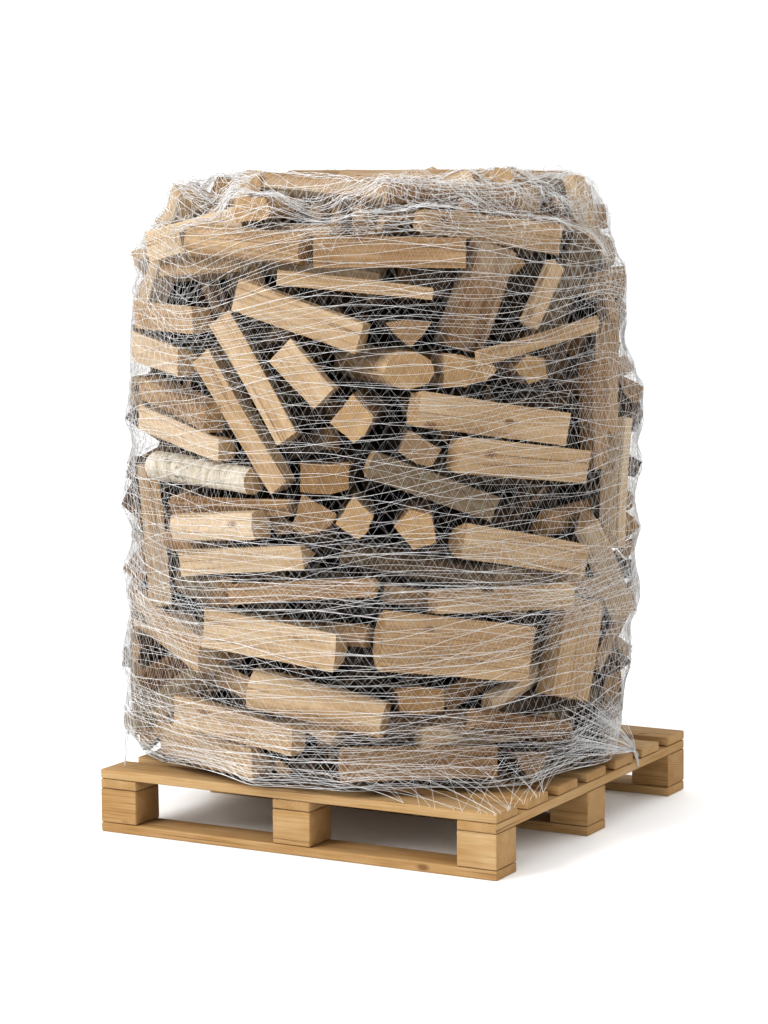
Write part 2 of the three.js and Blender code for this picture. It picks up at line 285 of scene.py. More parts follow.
def rough_bark():
    """Smooth grey-brown bark with lichen, furrows along the log and scuffed spots."""
    make = Finish("bark_grey_brown", roughness=0.9, specular=0.15)
    grain, tint = make.attribute("grain"), make.attribute("tint")
    tone, _, _ = make.parts(tint)
    furrows = make.noise(make.stretched(grain, (26, 120, 120)), detail=5, rough=0.65, twist=0.6)
    lichen = make.noise(make.stretched(grain, (30, 42, 42), (2, 7, 1)), detail=4)
    base = make.ramp(make.math("MULTIPLY_ADD", tone, 0.35, make.math("MULTIPLY", furrows, 0.8)), [
        (0.20, (0.040, 0.025, 0.015)), (0.45, (0.105, 0.072, 0.045)),
        (0.68, (0.180, 0.136, 0.090)), (0.90, (0.260, 0.215, 0.155))])
    colour = make.mix(make.math("MULTIPLY", make.between(lichen, 0.55, 0.72), 0.6), base,
                      (0.17, 0.165, 0.110))
    return make.finish(colour, furrows, 4.0 * MM, strength=0.8)


def birch_bark():
    """White papery bark with short dark marks round the log and a few black scars."""
    make = Finish("bark_birch", roughness=0.62, specular=0.3)
    grain = make.attribute("grain")
    paper = make.noise(make.stretched(grain, (70, 30, 30)), detail=4)
    marks = make.between(make.noise(make.stretched(grain, (420, 42, 42)), detail=2), 0.64, 0.70)
    scars = make.between(make.noise(make.stretched(grain, (12, 20, 20), (4, 4, 4)), detail=4),
                         0.58, 0.64)
    colour = make.ramp(paper, [(0.3, (0.28, 0.23, 0.17)), (0.5, (0.44, 0.39, 0.31)),
                               (0.7, (0.53, 0.49, 0.42))])
    colour = make.mix(make.math("MULTIPLY", marks, 0.6), colour, (0.22, 0.17, 0.13))
    colour = make.mix(make.math("MULTIPLY", scars, 0.85), colour, (0.05, 0.04, 0.035))
    height = make.math("SUBTRACT", paper, make.math("ADD", marks, scars))
    return make.finish(colour, height, 1.5 * MM)


def net_thread():
    """White plastic thread: a little glossy, with dull and bright runs along the net."""
    make = Finish("net_thread_white", roughness=0.42, specular=0.45)
    place = make.place()
    runs = make.noise(make.stretched(place, (24, 24, 60)), detail=3)
    fine = make.noise(make.stretched(place, (900, 900, 900)), detail=2)
    colour = make.ramp(make.math("MULTIPLY_ADD", fine, 0.3, make.math("MULTIPLY", runs, 0.7)), [
        (0.25, (0.60, 0.61, 0.61)), (0.55, (0.78, 0.78, 0.78)), (0.8, (0.90, 0.90, 0.89))])
    return make.finish(colour, fine, 0.4 * MM, strength=0.4)


# Wood colours from the darkest streak to the lightest, as (place on the ramp, colour). TAN's
# near-black first stop is painted shade, which the deep billets' lowered tone lands on.
PALE = [(0.05, (0.141, 0.078, 0.034)), (0.30, (0.245, 0.152, 0.075)),
        (0.52, (0.341, 0.229, 0.127)), (0.72, (0.416, 0.300, 0.183)),
        (0.95, (0.475, 0.369, 0.254))]
TAN = [(0.0, (0.032, 0.019, 0.011)), (0.10, (0.090, 0.045, 0.018)),
       (0.30, (0.171, 0.095, 0.043)), (0.55, (0.260, 0.163, 0.083)),
       (0.75, (0.335, 0.221, 0.123)), (0.95, (0.394, 0.288, 0.179))]
SAWN = [(0.05, (0.156, 0.089, 0.037)), (0.35, (0.275, 0.169, 0.078)),
        (0.60, (0.356, 0.236, 0.123)), (0.90, (0.423, 0.315, 0.191))]
PINE = [(0.05, (0.193, 0.098, 0.031)), (0.35, (0.280, 0.159, 0.060)),
        (0.60, (0.344, 0.213, 0.093)), (0.90, (0.396, 0.271, 0.139))]

wood_finishes = {
    "pale": split_wood("split_face_pale", PALE),
    "tan": split_wood("split_face_tan", TAN),
    "sawn": sawn_end("sawn_end", SAWN),
    "bark": rough_bark(),
    "birch": birch_bark(),
    "board": split_wood("pallet_board", PINE, grey=(0.52, 0.42, 0.28)),
    "board_end": sawn_end("pallet_board_end", PINE, dark=(0.40, 0.24, 0.10)),
}
thread_finish = net_thread()


# ---- the load's envelope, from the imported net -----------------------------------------
def net_wall():
    """The net's outer wall as (radius, height) pairs from the deck to the opening, and the
    centre of the load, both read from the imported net."""
    points = points_of(frame["nodes"]["net"].data)
    low, high = points.min(0), points.max(0)
    centre = np.array([(low[0] + high[0]) / 2, (low[1] + high[1]) / 2])
    radius = np.hypot(points[:, 0] - centre[0], points[:, 1] - centre[1])
    heights = np.unique(np.round(points[:, 2], 4))
    outer = [[radius[np.abs(points[:, 2] - z) < 1e-4].max(), z] for z in heights]
    opening = radius[np.abs(points[:, 2] - heights[-1]) < 1e-4].min()
    wall = np.array(outer)
    keep = np.concatenate([[True], np.diff(wall[:, 1]) > 6 * MM])
    return np.vstack([wall[keep], [opening, heights[-1]]]), centre


WALL, CENTRE = net_wall()
NET_ROOM = 6 * MM                     # the wood stays this far inside the net's wall
DECK_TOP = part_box("deck_board_1")[1][2]
RIM_HEIGHTS, RIM_RADII = WALL[:-1, 1], WALL[:-1, 0] - NET_ROOM


# The load is uneven: its radius up the left and the right side, as (height, radius).
LEFT_SIDE = np.array([
    (0.16, .585), (0.25, .615), (0.40, .612), (0.47, .588), (0.62, .606), (0.80, .596),
    (1.10, .576), (1.22, .584), (1.26, .566), (1.36, .592), (1.40, .574), (1.43, .530),
    (1.48, .470)])
RIGHT_SIDE = np.array([
    (0.17, .556), (0.25, .560), (0.35, .586), (0.43, .572), (0.46, .594), (0.66, .606),
    (0.75, .584), (0.88, .606), (1.03, .594), (1.08, .553), (1.14, .566), (1.27, .558),
    (1.40, .512), (1.45, .488)])
LEFT_TURN, RIGHT_TURN = math.radians(-56), math.radians(114)
BUMP = 9 * MM


def radius_at(height, angle):
    """The wood's reach: the net's wall, blended into the two side shapes near their
    directions and with low bumps everywhere else."""
    reach = np.interp(height, RIM_HEIGHTS, RIM_RADII)
    reach = reach + BUMP * np.sin(5 * angle + 9 * height) * np.sin(8 * height + 3 * angle + 1)
    for side, turn in ((LEFT_SIDE, LEFT_TURN), (RIGHT_SIDE, RIGHT_TURN)):
        share = np.maximum(np.cos(angle - turn), 0) ** 8
        reach = reach * (1 - share) + np.interp(height, side[:, 0], side[:, 1]) * share
    return reach


def angle_of(flat):
    """The angle from the front, towards +X, of points about the load's axis."""
    return np.arctan2(flat[..., 0], -flat[..., 1])


RIM_STEPS = 6                         # the wall's last steps, which draw in over the top
ABOVE_RIM = 10 * MM                   # how far wood may stand above those steps
SHOULDER, SHOULDER_FROM, SHOULDER_WIDTH = 24 * MM, 0.46, 0.08


def top_at(radius):
    """The highest that wood may reach at a distance from the load's axis: the drawn-in
    wall and the room above it, plus a shoulder that rises over the last centimetres."""
    shoulder = SHOULDER * np.clip((radius - SHOULDER_FROM) / SHOULDER_WIDTH, 0, 1)
    heights = RIM_HEIGHTS[::-1][:RIM_STEPS] + ABOVE_RIM
    return np.interp(radius, RIM_RADII[::-1][:RIM_STEPS], heights) + shoulder


# ---- billets --------------------------------------------------------------------------
# Split outlines: six corners, [across, deep] in shares of width and thickness, where the
# heart of the log lies, and which of the six edges carry bark.
OUTLINES = {
    "board": ([(-.5, -.42), (.02, -.5), (.5, -.40), (.46, .44), (-.04, .5), (-.47, .38)],
              (.2, -2.2), ()),
    "quarter": ([(-.5, -.46), (.04, -.44), (.5, -.36), (.43, .16), (.14, .43), (-.42, .5)],
                (-.5, -.46), (2, 3, 4)),
    "half": ([(-.5, -.34), (.5, -.30), (.45, .10), (.20, .42), (-.2, .44), (-.44, .08)],
             (0, -.34), (1, 2, 3, 4, 5)),
    "prism": ([(-.5, -.32), (0, -.38), (.5, -.30), (.27, .12), (.03, .5), (-.26, .1)],
              (.03, .9), ()),
    "slat": ([(-.5, -.5), (0, -.46), (.5, -.5), (.5, .34), (.1, .5), (-.5, .42)],
             (0, 3.0), ()),
    "limb": ([(-.5, 0), (-.25, -.43), (.25, -.43), (.5, 0), (.25, .43), (-.25, .43)],
             (0, 0), (0, 1, 2, 3, 4, 5)),
}
KINDS = list(OUTLINES)
PER_EDGE = 4


def along_edges(corners, bulge, per_edge):
    """Points along a closed outline's edges, each edge bowed out by `bulge` of its length.

    Each point is corner + t * edge + 4 t (1 - t) * bulge * outward normal of the edge."""
    step = np.arange(per_edge) / per_edge
    edge = np.roll(corners, -1, axis=-2) - corners
    out = np.stack([edge[..., 1], -edge[..., 0]], -1)
    bow = (4 * step * (1 - step))[:, None] * (bulge[..., None, None] * out[..., None, :])
    points = corners[..., None, :] + step[:, None] * edge[..., None, :] + bow
    return points.reshape(*corners.shape[:-2], -1, 2)


def loft_faces(count, rings, sides):
    """Faces of `count` closed lofts: quads between rings and fans on the two ends."""
    one = rings * sides + 2
    k, m = np.meshgrid(np.arange(rings - 1), np.arange(sides), indexing="ij")
    nxt = (m + 1) % sides
    quads = np.stack([k * sides + m, k * sides + nxt, (k + 1) * sides + nxt,
                      (k + 1) * sides + m], -1).reshape(-1, 4)
    around = np.arange(sides)
    after = (around + 1) % sides
    last = (rings - 1) * sides
    first_fan = np.stack([np.full(sides, one - 2), after, around], -1)
    last_fan = np.stack([np.full(sides, one - 1), last + around, last + after], -1)
    fans = np.concatenate([first_fan, last_fan])
    shift = (np.arange(count) * one)[:, None, None]
    return quads[None] + shift, fans[None] + shift


def smooth_random(shape, low, high, times=1):
    """Seeded random numbers, evened out along the last axis."""
    values = rng.uniform(low, high, shape)
    for _ in range(times):
        values = (np.roll(values, 1, -1) + 2 * values + np.roll(values, -1, -1)) / 4
    return values


class Billets:
    """A set of billets as arrays: place, directions, sizes and outline of each."""

    def __init__(self, centre, axis, across, length, wide, thick, kind):
        self.centre, self.axis = centre, unit(axis)
        across = across - (across * self.axis).sum(-1, keepdims=True) * self.axis
        self.across = unit(across)
        self.deep = np.cross(self.axis, self.across)
        self.length, self.wide, self.thick, self.kind = length, wide, thick, kind

    def take(self, pick):
        """The picked billets as a set of their own."""
        return Billets(self.centre[pick], self.axis[pick], self.across[pick],
                       self.length[pick], self.wide[pick], self.thick[pick], self.kind[pick])

    def sections(self):
        """Outline corners in metres, each nudged a little, and the heart's place."""
        shapes = np.array([OUTLINES[k][0] for k in KINDS])[self.kind]
        hearts = np.array([OUTLINES[k][1] for k in KINDS])[self.kind]
        size = np.stack([self.wide, self.thick], -1)
        shapes = shapes * (1 + rng.uniform(-0.09, 0.05, shapes.shape))
        return shapes * size[:, None, :], hearts * size

    def barked(self):
        """Which of each billet's six edges carry bark."""
        flags = np.zeros((len(KINDS), 6), bool)
        for row, kind in enumerate(KINDS):
            flags[row, list(OUTLINES[kind][2])] = True
        return flags[self.kind]


def carry(centre, axis, across, deep, length, sections, stations, ridge, bend):
    """Carries an outline along each billet's axis.

    Point = centre + x * length * axis + (p, q) on (across, deep), where (p, q) is the
    outline at that station, pushed out by its ridges, and the axis bows by bend (1 - 4xx)."""
    x = stations[None, :, None] * length[:, None, None]
    middle = sections.mean(-2, keepdims=True)
    away = unit(sections - middle)
    outline = sections + away * ridge[..., None]
    bow = (bend[:, None] * (1 - 4 * stations**2))[:, :, None]
    place = centre[:, None, None, :] + x[..., None] * axis[:, None, None, :]
    place = place + outline[..., 0:1] * across[:, None, None, :]
    place = place + (outline[..., 1:2] + bow[..., None]) * deep[:, None, None, :]
    return place, outline


DEEP_SHADE_RADIUS, DEEP_SHADE_TOP = 0.485, 1.27  # billets inside and below these are drawn darker, as painted shade
STATIONS = np.array([-0.5, -0.46, -0.30, -0.10, 0.10, 0.30, 0.46, 0.5])


def is_deep(billets):
    """Which billets lie well inside the load and below its open top."""
    far = np.hypot(*(billets.centre[:, :2] - CENTRE).T)
    return (far < DEEP_SHADE_RADIUS) & (billets.centre[:, 2] < DEEP_SHADE_TOP)


def billet_points(billets):
    """The corner points of many billets: (billets, rings, sides, 3), with their outlines."""
    n, sides = len(billets.length), 6 * PER_EDGE
    corners, heart = billets.sections()
    barked = billets.barked()
    bulge = np.where(barked, 0.10, rng.uniform(-0.035, 0.035, (n, 6)))
    outline = along_edges(corners, bulge, PER_EDGE)[:, None]
    taper = rng.uniform(-0.14, 0.14, (n, 1, 1, 1)) * STATIONS[None, :, None, None]
    outline = outline * (1 + taper)
    rough = smooth_random((n, 1, sides), -1.6 * MM, 1.4 * MM)
    rough = rough + smooth_random((n, len(STATIONS), sides), -1.3 * MM, 1.1 * MM)
    bend = rng.normal(0, 3.5 * MM, n)
    points, outline = carry(billets.centre, billets.axis, billets.across, billets.deep,
                            billets.length, outline, STATIONS, rough, bend)
    return points, outline, heart, np.repeat(barked, PER_EDGE, axis=1)


def close_ends(points):
    """Adds a middle point to each end's outline."""
    n = len(points)
    ends = np.stack([points[:, 0].mean(1), points[:, -1].mean(1)], 1)
    return np.concatenate([points.reshape(n, -1, 3), ends], 1)


def grain_of(outline, heart, length, stations, offset):
    """Where each point lies in its own log: along it, and across from the log's heart."""
    n, rings, sides, _ = outline.shape
    along = np.broadcast_to(stations[None, :, None] * length[:, None, None], (n, rings, sides))
    flat = outline - heart[:, None, None, :]
    grain = np.concatenate([along[..., None], flat], -1)
    grain[..., 0] += offset[:, None, None]
    return grain


def billet_group(name, billets, finishes, face):
    """Joins many billets in one mesh. `face` is the split face's finish for each billet.

    The ones deep inside are darker: painted shade that stands in for the shade in the load's deep
    gaps."""
    points, outline, heart, barked = billet_points(billets)
    n, rings, sides, _ = points.shape
    quads, fans = loft_faces(n, rings, sides)
    barked = barked & (rng.random((n, 1)) < 0.7)
    walls = np.where(barked, 3, face[:, None])
    walls = np.broadcast_to(walls[:, None, :], (n, rings - 1, sides)).reshape(-1)
    ends = np.full(fans.shape[0] * fans.shape[1], 2)
    piece = surface(name, close_ends(points).reshape(-1, 3), quads, fans, finishes,
                    np.concatenate([walls, ends]), smooth_below=math.radians(24))
    offset = rng.uniform(0, 60, n)
    grain = grain_of(outline, heart, billets.length, STATIONS, offset)
    write_vectors(piece, "grain", close_ends(grain).reshape(-1, 3))
    tone = np.clip(rng.normal(0.55, 0.22, n), 0, 1)
    # Painted shade: a deep billet's tone is lowered, so its faces come out near black.
    tone = np.where(is_deep(billets), tone * 0.25 - 0.30, tone)
    dull = np.clip(rng.normal(0.12, 0.25, n), 0, 0.9)
    tint = np.stack([tone, dull, rng.random(n)], -1)
    each = rings * sides + 2
    write_vectors(piece, "tint", np.repeat(tint, each, axis=0))
    return piece


# ---- billets that stand for CAD nodes -------------------------------------------------
def end_outlines(node):
    """The two sawn ends of a CAD billet as matching rings of corners, in order."""
    points = points_of(frame["nodes"][node].data)
    points = np.unique(np.round(points, 5), axis=0).astype(float)
    middle = points.mean(0)
    _, _, main = np.linalg.svd(points - middle)
    best = None
    for axis in main:
        along = (points - middle) @ axis
        order = np.argsort(along)
        half = len(points) // 2
        gap = along[order[half]] - along[order[half - 1]]
        if best is None or gap > best[0]:
            best = (gap, axis, order)
    _, axis, order = best
    half = len(points) // 2
    first, last = points[order[:half]], points[order[half:]]
    axis = unit(last.mean(0) - first.mean(0))
    side = unit(first[0] - first.mean(0) - ((first[0] - first.mean(0)) @ axis) * axis)
    rings = []
    for ring in (first, last):
        local = ring - ring.mean(0)
        turn = np.arctan2(local @ np.cross(axis, side), local @ side)
        rings.append(ring[np.argsort(turn)])
    a, b = rings
    shifts = [np.linalg.norm(np.roll(b, s, 0) - b.mean(0) - a + a.mean(0)) for s in range(half)]
    return a, np.roll(b, int(np.argmin(shifts)), 0)


FINE_RINGS = 22
WALL_FINISH = {"pale": 0, "tan": 1, "grey": 3, "birch": 4}  # places in wood_list


def fine_billet(node, kind, look, tone, dull):
    """A detailed billet between a CAD billet's two ends.

    Each point is the straight blend of the two end outlines at its station, plus ridges
    that run along the grain, plus a slow wave; the ends stay flat saw cuts."""
    first, last = end_outlines(node)
    corners = len(first)
    per_edge = max(4, round(48 / corners))
    axis = unit(last.mean(0) - first.mean(0))
    across = unit(first[1] - first[0])
    deep = np.cross(axis, across)
    length = float(np.linalg.norm(last.mean(0) - first.mean(0)))
    middle = (first.mean(0) + last.mean(0)) / 2
    flat = [np.stack([(ring - middle) @ across, (ring - middle) @ deep], -1)
            for ring in (first, last)]
    edges = np.linalg.norm(np.roll(flat[0], -1, 0) - flat[0], axis=-1)
    split = edges > 0.62 * edges.max() if kind == "slab" else np.ones(corners, bool)
    if kind == "log":
        split[:] = False
    bulge = np.where(split, rng.uniform(-0.02, 0.012, corners), 0.05)
    outlines = [along_edges(ring, bulge, per_edge) for ring in flat]
    sides = corners * per_edge
    x = 0.5 * np.sin(np.linspace(-0.5, 0.5, FINE_RINGS) * math.pi)
    share = (x + 0.5)[:, None, None]
    outline = outlines[0][None] * (1 - share) + outlines[1][None] * share
    inner = outline - outline.mean(1, keepdims=True)
    depth = 1.5 if kind != "log" else 0.9
    ridge = smooth_random((1, sides), -1.5 * depth * MM, 0, 0)
    slow = smooth_random((sides, 7), -2.2 * depth * MM, 0, 1)
    wave = np.stack([np.interp(x, np.linspace(-0.5, 0.5, 7), row) for row in slow], 1)
    fine = smooth_random((FINE_RINGS, sides), -0.8 * MM, 0, 1)
    outline = outline + unit(inner) * (ridge + wave + fine)[..., None]
    bend = (rng.uniform(-2.5, 0.5) * MM * (1 - 4 * x**2))[:, None]
    points = middle + (x * length)[:, None, None] * axis
    points = points + outline[..., 0:1] * across + (outline[..., 1:2] + bend[..., None]) * deep
    quads, fans = loft_faces(1, FINE_RINGS, sides)
    wall = WALL_FINISH[look]
    barked = wall if look in ("grey", "birch") else 3
    edge_look = np.where(split, 0 if look == "birch" else wall, barked)
    if look in ("pale", "tan") and kind == "log":
        edge_look[:] = wall
    if look == "grey":
        edge_look[:] = np.where(split & (rng.random(corners) < 0.3), 1, 3)
    walls = np.broadcast_to(np.repeat(edge_look, per_edge), (FINE_RINGS - 1, sides)).reshape(-1)
    finish = np.concatenate([walls, np.full(2 * sides, 2)])
    piece = surface(node.replace("billet_", "split_"), close_ends(points[None]).reshape(-1, 3),
                    quads, fans, wood_list, finish, smooth_below=math.radians(26))
    heart = np.array([[0.0, -0.06 if kind in ("plank", "wedge") else 0.0]])
    grain = grain_of(outline[None], heart, np.array([length]), x, rng.uniform(0, 60, 1))
    write_vectors(piece, "grain", close_ends(grain).reshape(-1, 3))
    tint = np.tile([tone, dull, rng.random()], (FINE_RINGS * sides + 2, 1))
    write_vectors(piece, "tint", tint)
    return piece, first, last


wood_list = [wood_finishes[k] for k in ("pale", "tan", "sawn", "bark", "birch")]
# Outline, look, how pale (0 to 1) and how weathered (0 to 1) each CAD billet is.
NAMED = {
    "top_long": ("log", "tan", 0.5, 0.1), "top_chunk": ("plank", "tan", 0.6, 0.0),
    "knot_plank": ("plank", "pale", 0.45, 0.0), "rim_log": ("log", "pale", 0.4, 0.0),
    "flat_long": ("slab", "tan", 0.55, 0.0), "thin_taper": ("wedge", "pale", 0.55, 0.1),
    "slant_short": ("plank", "pale", 0.7, 0.0), "flat_wedge": ("plank", "pale", 0.7, 0.05),
    "left_face": ("plank", "pale", 0.5, 0.0), "stick": ("plank", "pale", 0.6, 0.0),
    "left_pale": ("slab", "pale", 0.8, 0.0), "diag_short": ("plank", "pale", 0.75, 0.0),
    "diag_upper": ("slab", "pale", 0.7, 0.0), "end_round": ("log", "pale", 0.6, 0.0),
    "end_wide": ("slab", "pale", 0.6, 0.0), "end_small": ("plank", "tan", 0.6, 0.0),
    "side_upright": ("plank", "tan", 0.4, 0.1), "big_plank": ("plank", "pale", 0.65, 0.0),
    "diamond_end": ("plank", "tan", 0.6, 0.0), "diag_lower": ("plank", "pale", 0.6, 0.0),
    "pale_over": ("plank", "pale", 0.8, 0.0), "second_plank": ("plank", "pale", 0.6, 0.0),
    "birch": ("log", "birch", 0.8, 0.0), "grey_diag": ("slab", "grey", 0.5, 0.2),
    "under_birch": ("plank", "tan", 0.5, 0.1), "diamond": ("plank", "pale", 0.7, 0.0),
    "square_end": ("plank", "tan", 0.5, 0.0), "low_plank": ("slab", "pale", 0.6, 0.0),
    "pale_wedge": ("wedge", "pale", 0.8, 0.0), "tan_wedge": ("wedge", "tan", 0.6, 0.0),
    "wide_pale": ("slab", "pale", 0.75, 0.0), "cracked": ("slab", "pale", 0.45, 0.0),
    "long_round": ("log", "pale", 0.65, 0.0), "short_low": ("plank", "pale", 0.7, 0.0),
    "base_front": ("slab", "tan", 0.5, 0.2), "base_left": ("wedge", "pale", 0.6, 0.0),
}


def named_billets():
    """Makes the detailed billets and returns their two end rings, for the packing."""
    rings = []
    for name, (kind, look, tone, dull) in NAMED.items():
        node = "billet_" + name
        piece, first, last = fine_billet(node, kind, look, tone, dull)
        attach(piece, "root")
        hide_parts(node)
        rings.append((first, last))
    return rings


# ---- packing --------------------------------------------------------------------------
def rods_of(rings):
    """Two rods side by side, as ends and radii, that fill a billet between its end rings."""
    ends, radii = [], []
    for first, last in rings:
        middle = first.mean(0)
        _, _, main = np.linalg.svd(first - middle, full_matrices=False)
        wide = np.abs((first - middle) @ main[0]).max()
        thick = np.abs((first - middle) @ main[1]).max()
        for side in (-1, 1):
            shift = main[0] * max(wide - thick, 0) * side
            inward = unit(last.mean(0) - middle) * thick * 0.6
            ends.append([middle + shift + inward, last.mean(0) + shift - inward])
            radii.append(thick)
    return np.array(ends), np.array(radii)


def nearest(p, u, q, v):
    """Shares along two sets of straight rods, p + s u and q + t v, where they are nearest."""
    r = p - q
    a, e, b = (u * u).sum(-1), (v * v).sum(-1), (u * v).sum(-1)
    c, f = (u * r).sum(-1), (v * r).sum(-1)
    s = np.clip((b * f - c * e) / np.maximum(a * e - b * b, 1e-9), 0, 1)
    t = np.clip((b * s + f) / np.maximum(e, 1e-9), 0, 1)
    return np.clip((b * t - c) / np.maximum(a, 1e-9), 0, 1), t


PAIR_REACH = 0.44                     # rods whose middles are further apart can't touch


def near_pairs(ends):
    """The numbers of every two rods that are near enough to touch."""
    middle = ends.mean(1)
    apart = np.linalg.norm(middle[:, None] - middle[None], axis=-1)
    return np.nonzero(np.triu(apart < PAIR_REACH, 1))


def gap_of(ends, i, j):
    """From rod j to rod i at their nearest points, and the shares along both rods there."""
    p, u = ends[i, 0], ends[i, 1] - ends[i, 0]
    q, v = ends[j, 0], ends[j, 1] - ends[j, 0]
    s, t = nearest(p, u, q, v)
    return p + s[:, None] * u - q - t[:, None] * v, s, t


FRONT_TURN, FRONT_HALF = math.radians(28), math.radians(66)
SET_BACK = 46 * MM


def set_back(angle):
    """How far loose billets keep behind the ones that were placed first, on the front."""
    apart = np.abs((angle - FRONT_TURN + math.pi) % TURN - math.pi)
    return SET_BACK * np.clip((FRONT_HALF - apart) / 0.2, 0, 1)


def keep_inside(ends, radius, behind):
    """Brings rod ends back inside the envelope and above the deck."""
    flat = ends[..., :2] - CENTRE
    far = np.maximum(np.linalg.norm(flat, axis=-1), 1e-6)
    limit = radius_at(ends[..., 2], angle_of(flat)) - radius[:, None]
    limit = limit - behind * set_back(angle_of(flat))
    wanted = np.minimum(far, limit)
    ends[..., :2] = CENTRE + flat * (wanted / far)[..., None]
    low = DECK_TOP + radius[:, None]
    high = top_at(wanted) - radius[:, None]
    ends[..., 2] = np.clip(ends[..., 2], low, np.maximum(high, low))
    return ends


# How hard touching rods push, how much each push counts in the mean that eases it, and
# the most that an end moves in one round, in metres.
PUSH, EASE, PUSH_WEIGHT, LARGEST_MOVE = 1.6, 0.6, 0.35, 0.03


def settle(ends, radius, length, fixed, rounds, behind):
    """Pushes rods apart until they hardly overlap.

    Each round moves every touching pair apart along the line between their nearest points,
    shared between the rods' ends, then restores each rod's length and place."""
    for step in range(rounds):
        if step % 10 == 0:
            i, j = near_pairs(ends)
            free = ~(fixed[i] & fixed[j])
            i, j = i[free], j[free]
        gap, s, t = gap_of(ends, i, j)
        far = np.linalg.norm(gap, axis=-1)
        over = radius[i] + radius[j] - far
        hit = over > 0
        gap = gap[hit] / np.maximum(far[hit], 1e-6)[:, None]
        a, b, s, t, over = i[hit], j[hit], s[hit], t[hit], over[hit]
        mine = np.where(fixed[a], 0.0, np.where(fixed[b], 1.0, 0.5)) * over
        theirs = over - mine
        move = np.zeros_like(ends)
        count = np.full(ends.shape[:2], EASE)
        for who, end, share, push in ((a, 0, 1 - s, mine), (a, 1, s, mine),
                                      (b, 0, t - 1, theirs), (b, 1, -t, theirs)):
            np.add.at(move, (who, end), gap * (share * push)[:, None] * PUSH)
            np.add.at(count, (who, end), PUSH_WEIGHT * np.abs(share))
        move /= count[..., None]
        free = ~fixed
        ends[free] += np.clip(move[free], -LARGEST_MOVE, LARGEST_MOVE)
        middle, along = ends.mean(1), unit(ends[:, 1] - ends[:, 0])
        straight = np.stack([middle - along * length[:, None] / 2,
                             middle + along * length[:, None] / 2], 1)
        ends[free] = straight[free]
        ends[free] = keep_inside(ends[free], radius[free], behind)
    return ends


# How far corners stand out of a rod, the least share of its size that a crowded billet
# keeps, and how crowded a deep one may be before it is left out.
CORNER_REACH, LEAST_SIZE, TOO_CROWDED = 1.12, 0.74, 0.38


def crowding(ends, radius, fixed):
    """The share of its radius by which each rod still runs into its worst neighbour.

    Corners stand out of a rod, so its radius counts for a little more. Two free rods
    share what they overlap by, and a fixed one gives nothing."""
    i, j = near_pairs(ends)
    far = np.linalg.norm(gap_of(ends, i, j)[0], axis=-1)
    over = np.maximum(CORNER_REACH * (radius[i] + radius[j]) - far, 0)
    worst = np.zeros(len(ends))
    np.maximum.at(worst, i, np.where(fixed[j], over, over / 2))
    np.maximum.at(worst, j, np.where(fixed[i], over, over / 2))
    return worst / radius


# Billets with no node that show well: turn and lean in degrees, then height, depth under
# the envelope, length, width and thickness in millimetres, and whether it is end-on.
SEEN = [
    (35, 0, 1139, 20, 330, 99, 67, True), (36, 30, 905, 30, 330, 80, 54, True),
    (37, -14, 640, 8, 330, 52, 50, False), (-7, 7, 712, 10, 250, 60, 56, False),
    (14, 20, 722, 12, 330, 89, 81, True), (17, 0, 797, 16, 330, 110, 71, True),
    (6, 25, 690, 24, 330, 100, 51, True), (33, 0, 330, 20, 330, 104, 60, True),
    (64, 10, 196, 14, 330, 110, 78, True), (60, -11, 286, 6, 254, 48, 44, False),
    (75, 84, 448, 8, 220, 124, 60, False),
    (97, 70, 1036, 4, 300, 84, 60, False), (97, 84, 785, 4, 290, 66, 56, False),
    (90, -39, 587, 4, 300, 78, 54, False), (55, -4, 1262, 40, 330, 76, 60, False),
    (-15, 12, 1020, 14, 300, 58, 52, False), (-44, -62, 356, 6, 300, 72, 50, False),
    (53, 86, 1190, 26, 230, 104, 56, False), (79, 57, 1212, 8, 240, 66, 48, False),
    (-34, -86, 690, 8, 320, 66, 52, False), (-46, 80, 1290, 10, 300, 74, 56, False),
    (102, 78, 1360, 2, 280, 62, 50, False), (-28, 6, 1352, 6, 320, 70, 56, False),
    (10, -3, 1438, 20, 330, 64, 56, False), (72, -6, 1404, 10, 330, 70, 58, False),
    (-59, 84, 1322, 0, 300, 88, 60, False), (-52, 8, 1408, 0, 300, 70, 56, False),
    (108, 80, 1372, 0, 250, 70, 58, False),
    (28, -4, 290, 26, 330, 74, 52, False), (-24, -10, 575, 4, 320, 72, 56, False),
    (-30, -8, 470, 6, 330, 78, 54, False), (58, -9, 575, 6, 330, 58, 54, False),
]


def seen_places():
    """Centres, directions and sizes of the billets in SEEN."""
    turn, lean, height, depth, length, wide, thick, end_on = np.array(SEEN, float).T
    turn, lean = np.radians(turn), np.radians(lean)
    height, depth, length, wide, thick = (v * MM for v in (height, depth, length, wide, thick))
    end_on = end_on > 0
    out, along, up = turned(turn)
    axis = np.cos(lean)[:, None] * along + np.sin(lean)[:, None] * up
    axis = np.where(end_on[:, None], -out, axis)
    reach = radius_at(height, turn) - depth
    level = np.sqrt(reach**2 - (length / 2 * np.cos(lean)) ** 2) - thick / 2
    reach = np.where(end_on, reach - length / 2, level)
    middle = out * reach[:, None] + up * height[:, None]
    across = np.where(end_on[:, None], along, np.cross(out, axis))
    spin = np.where(end_on, lean, 0.0)
    return middle + [CENTRE[0], CENTRE[1], 0], axis, length, wide, thick, across, spin


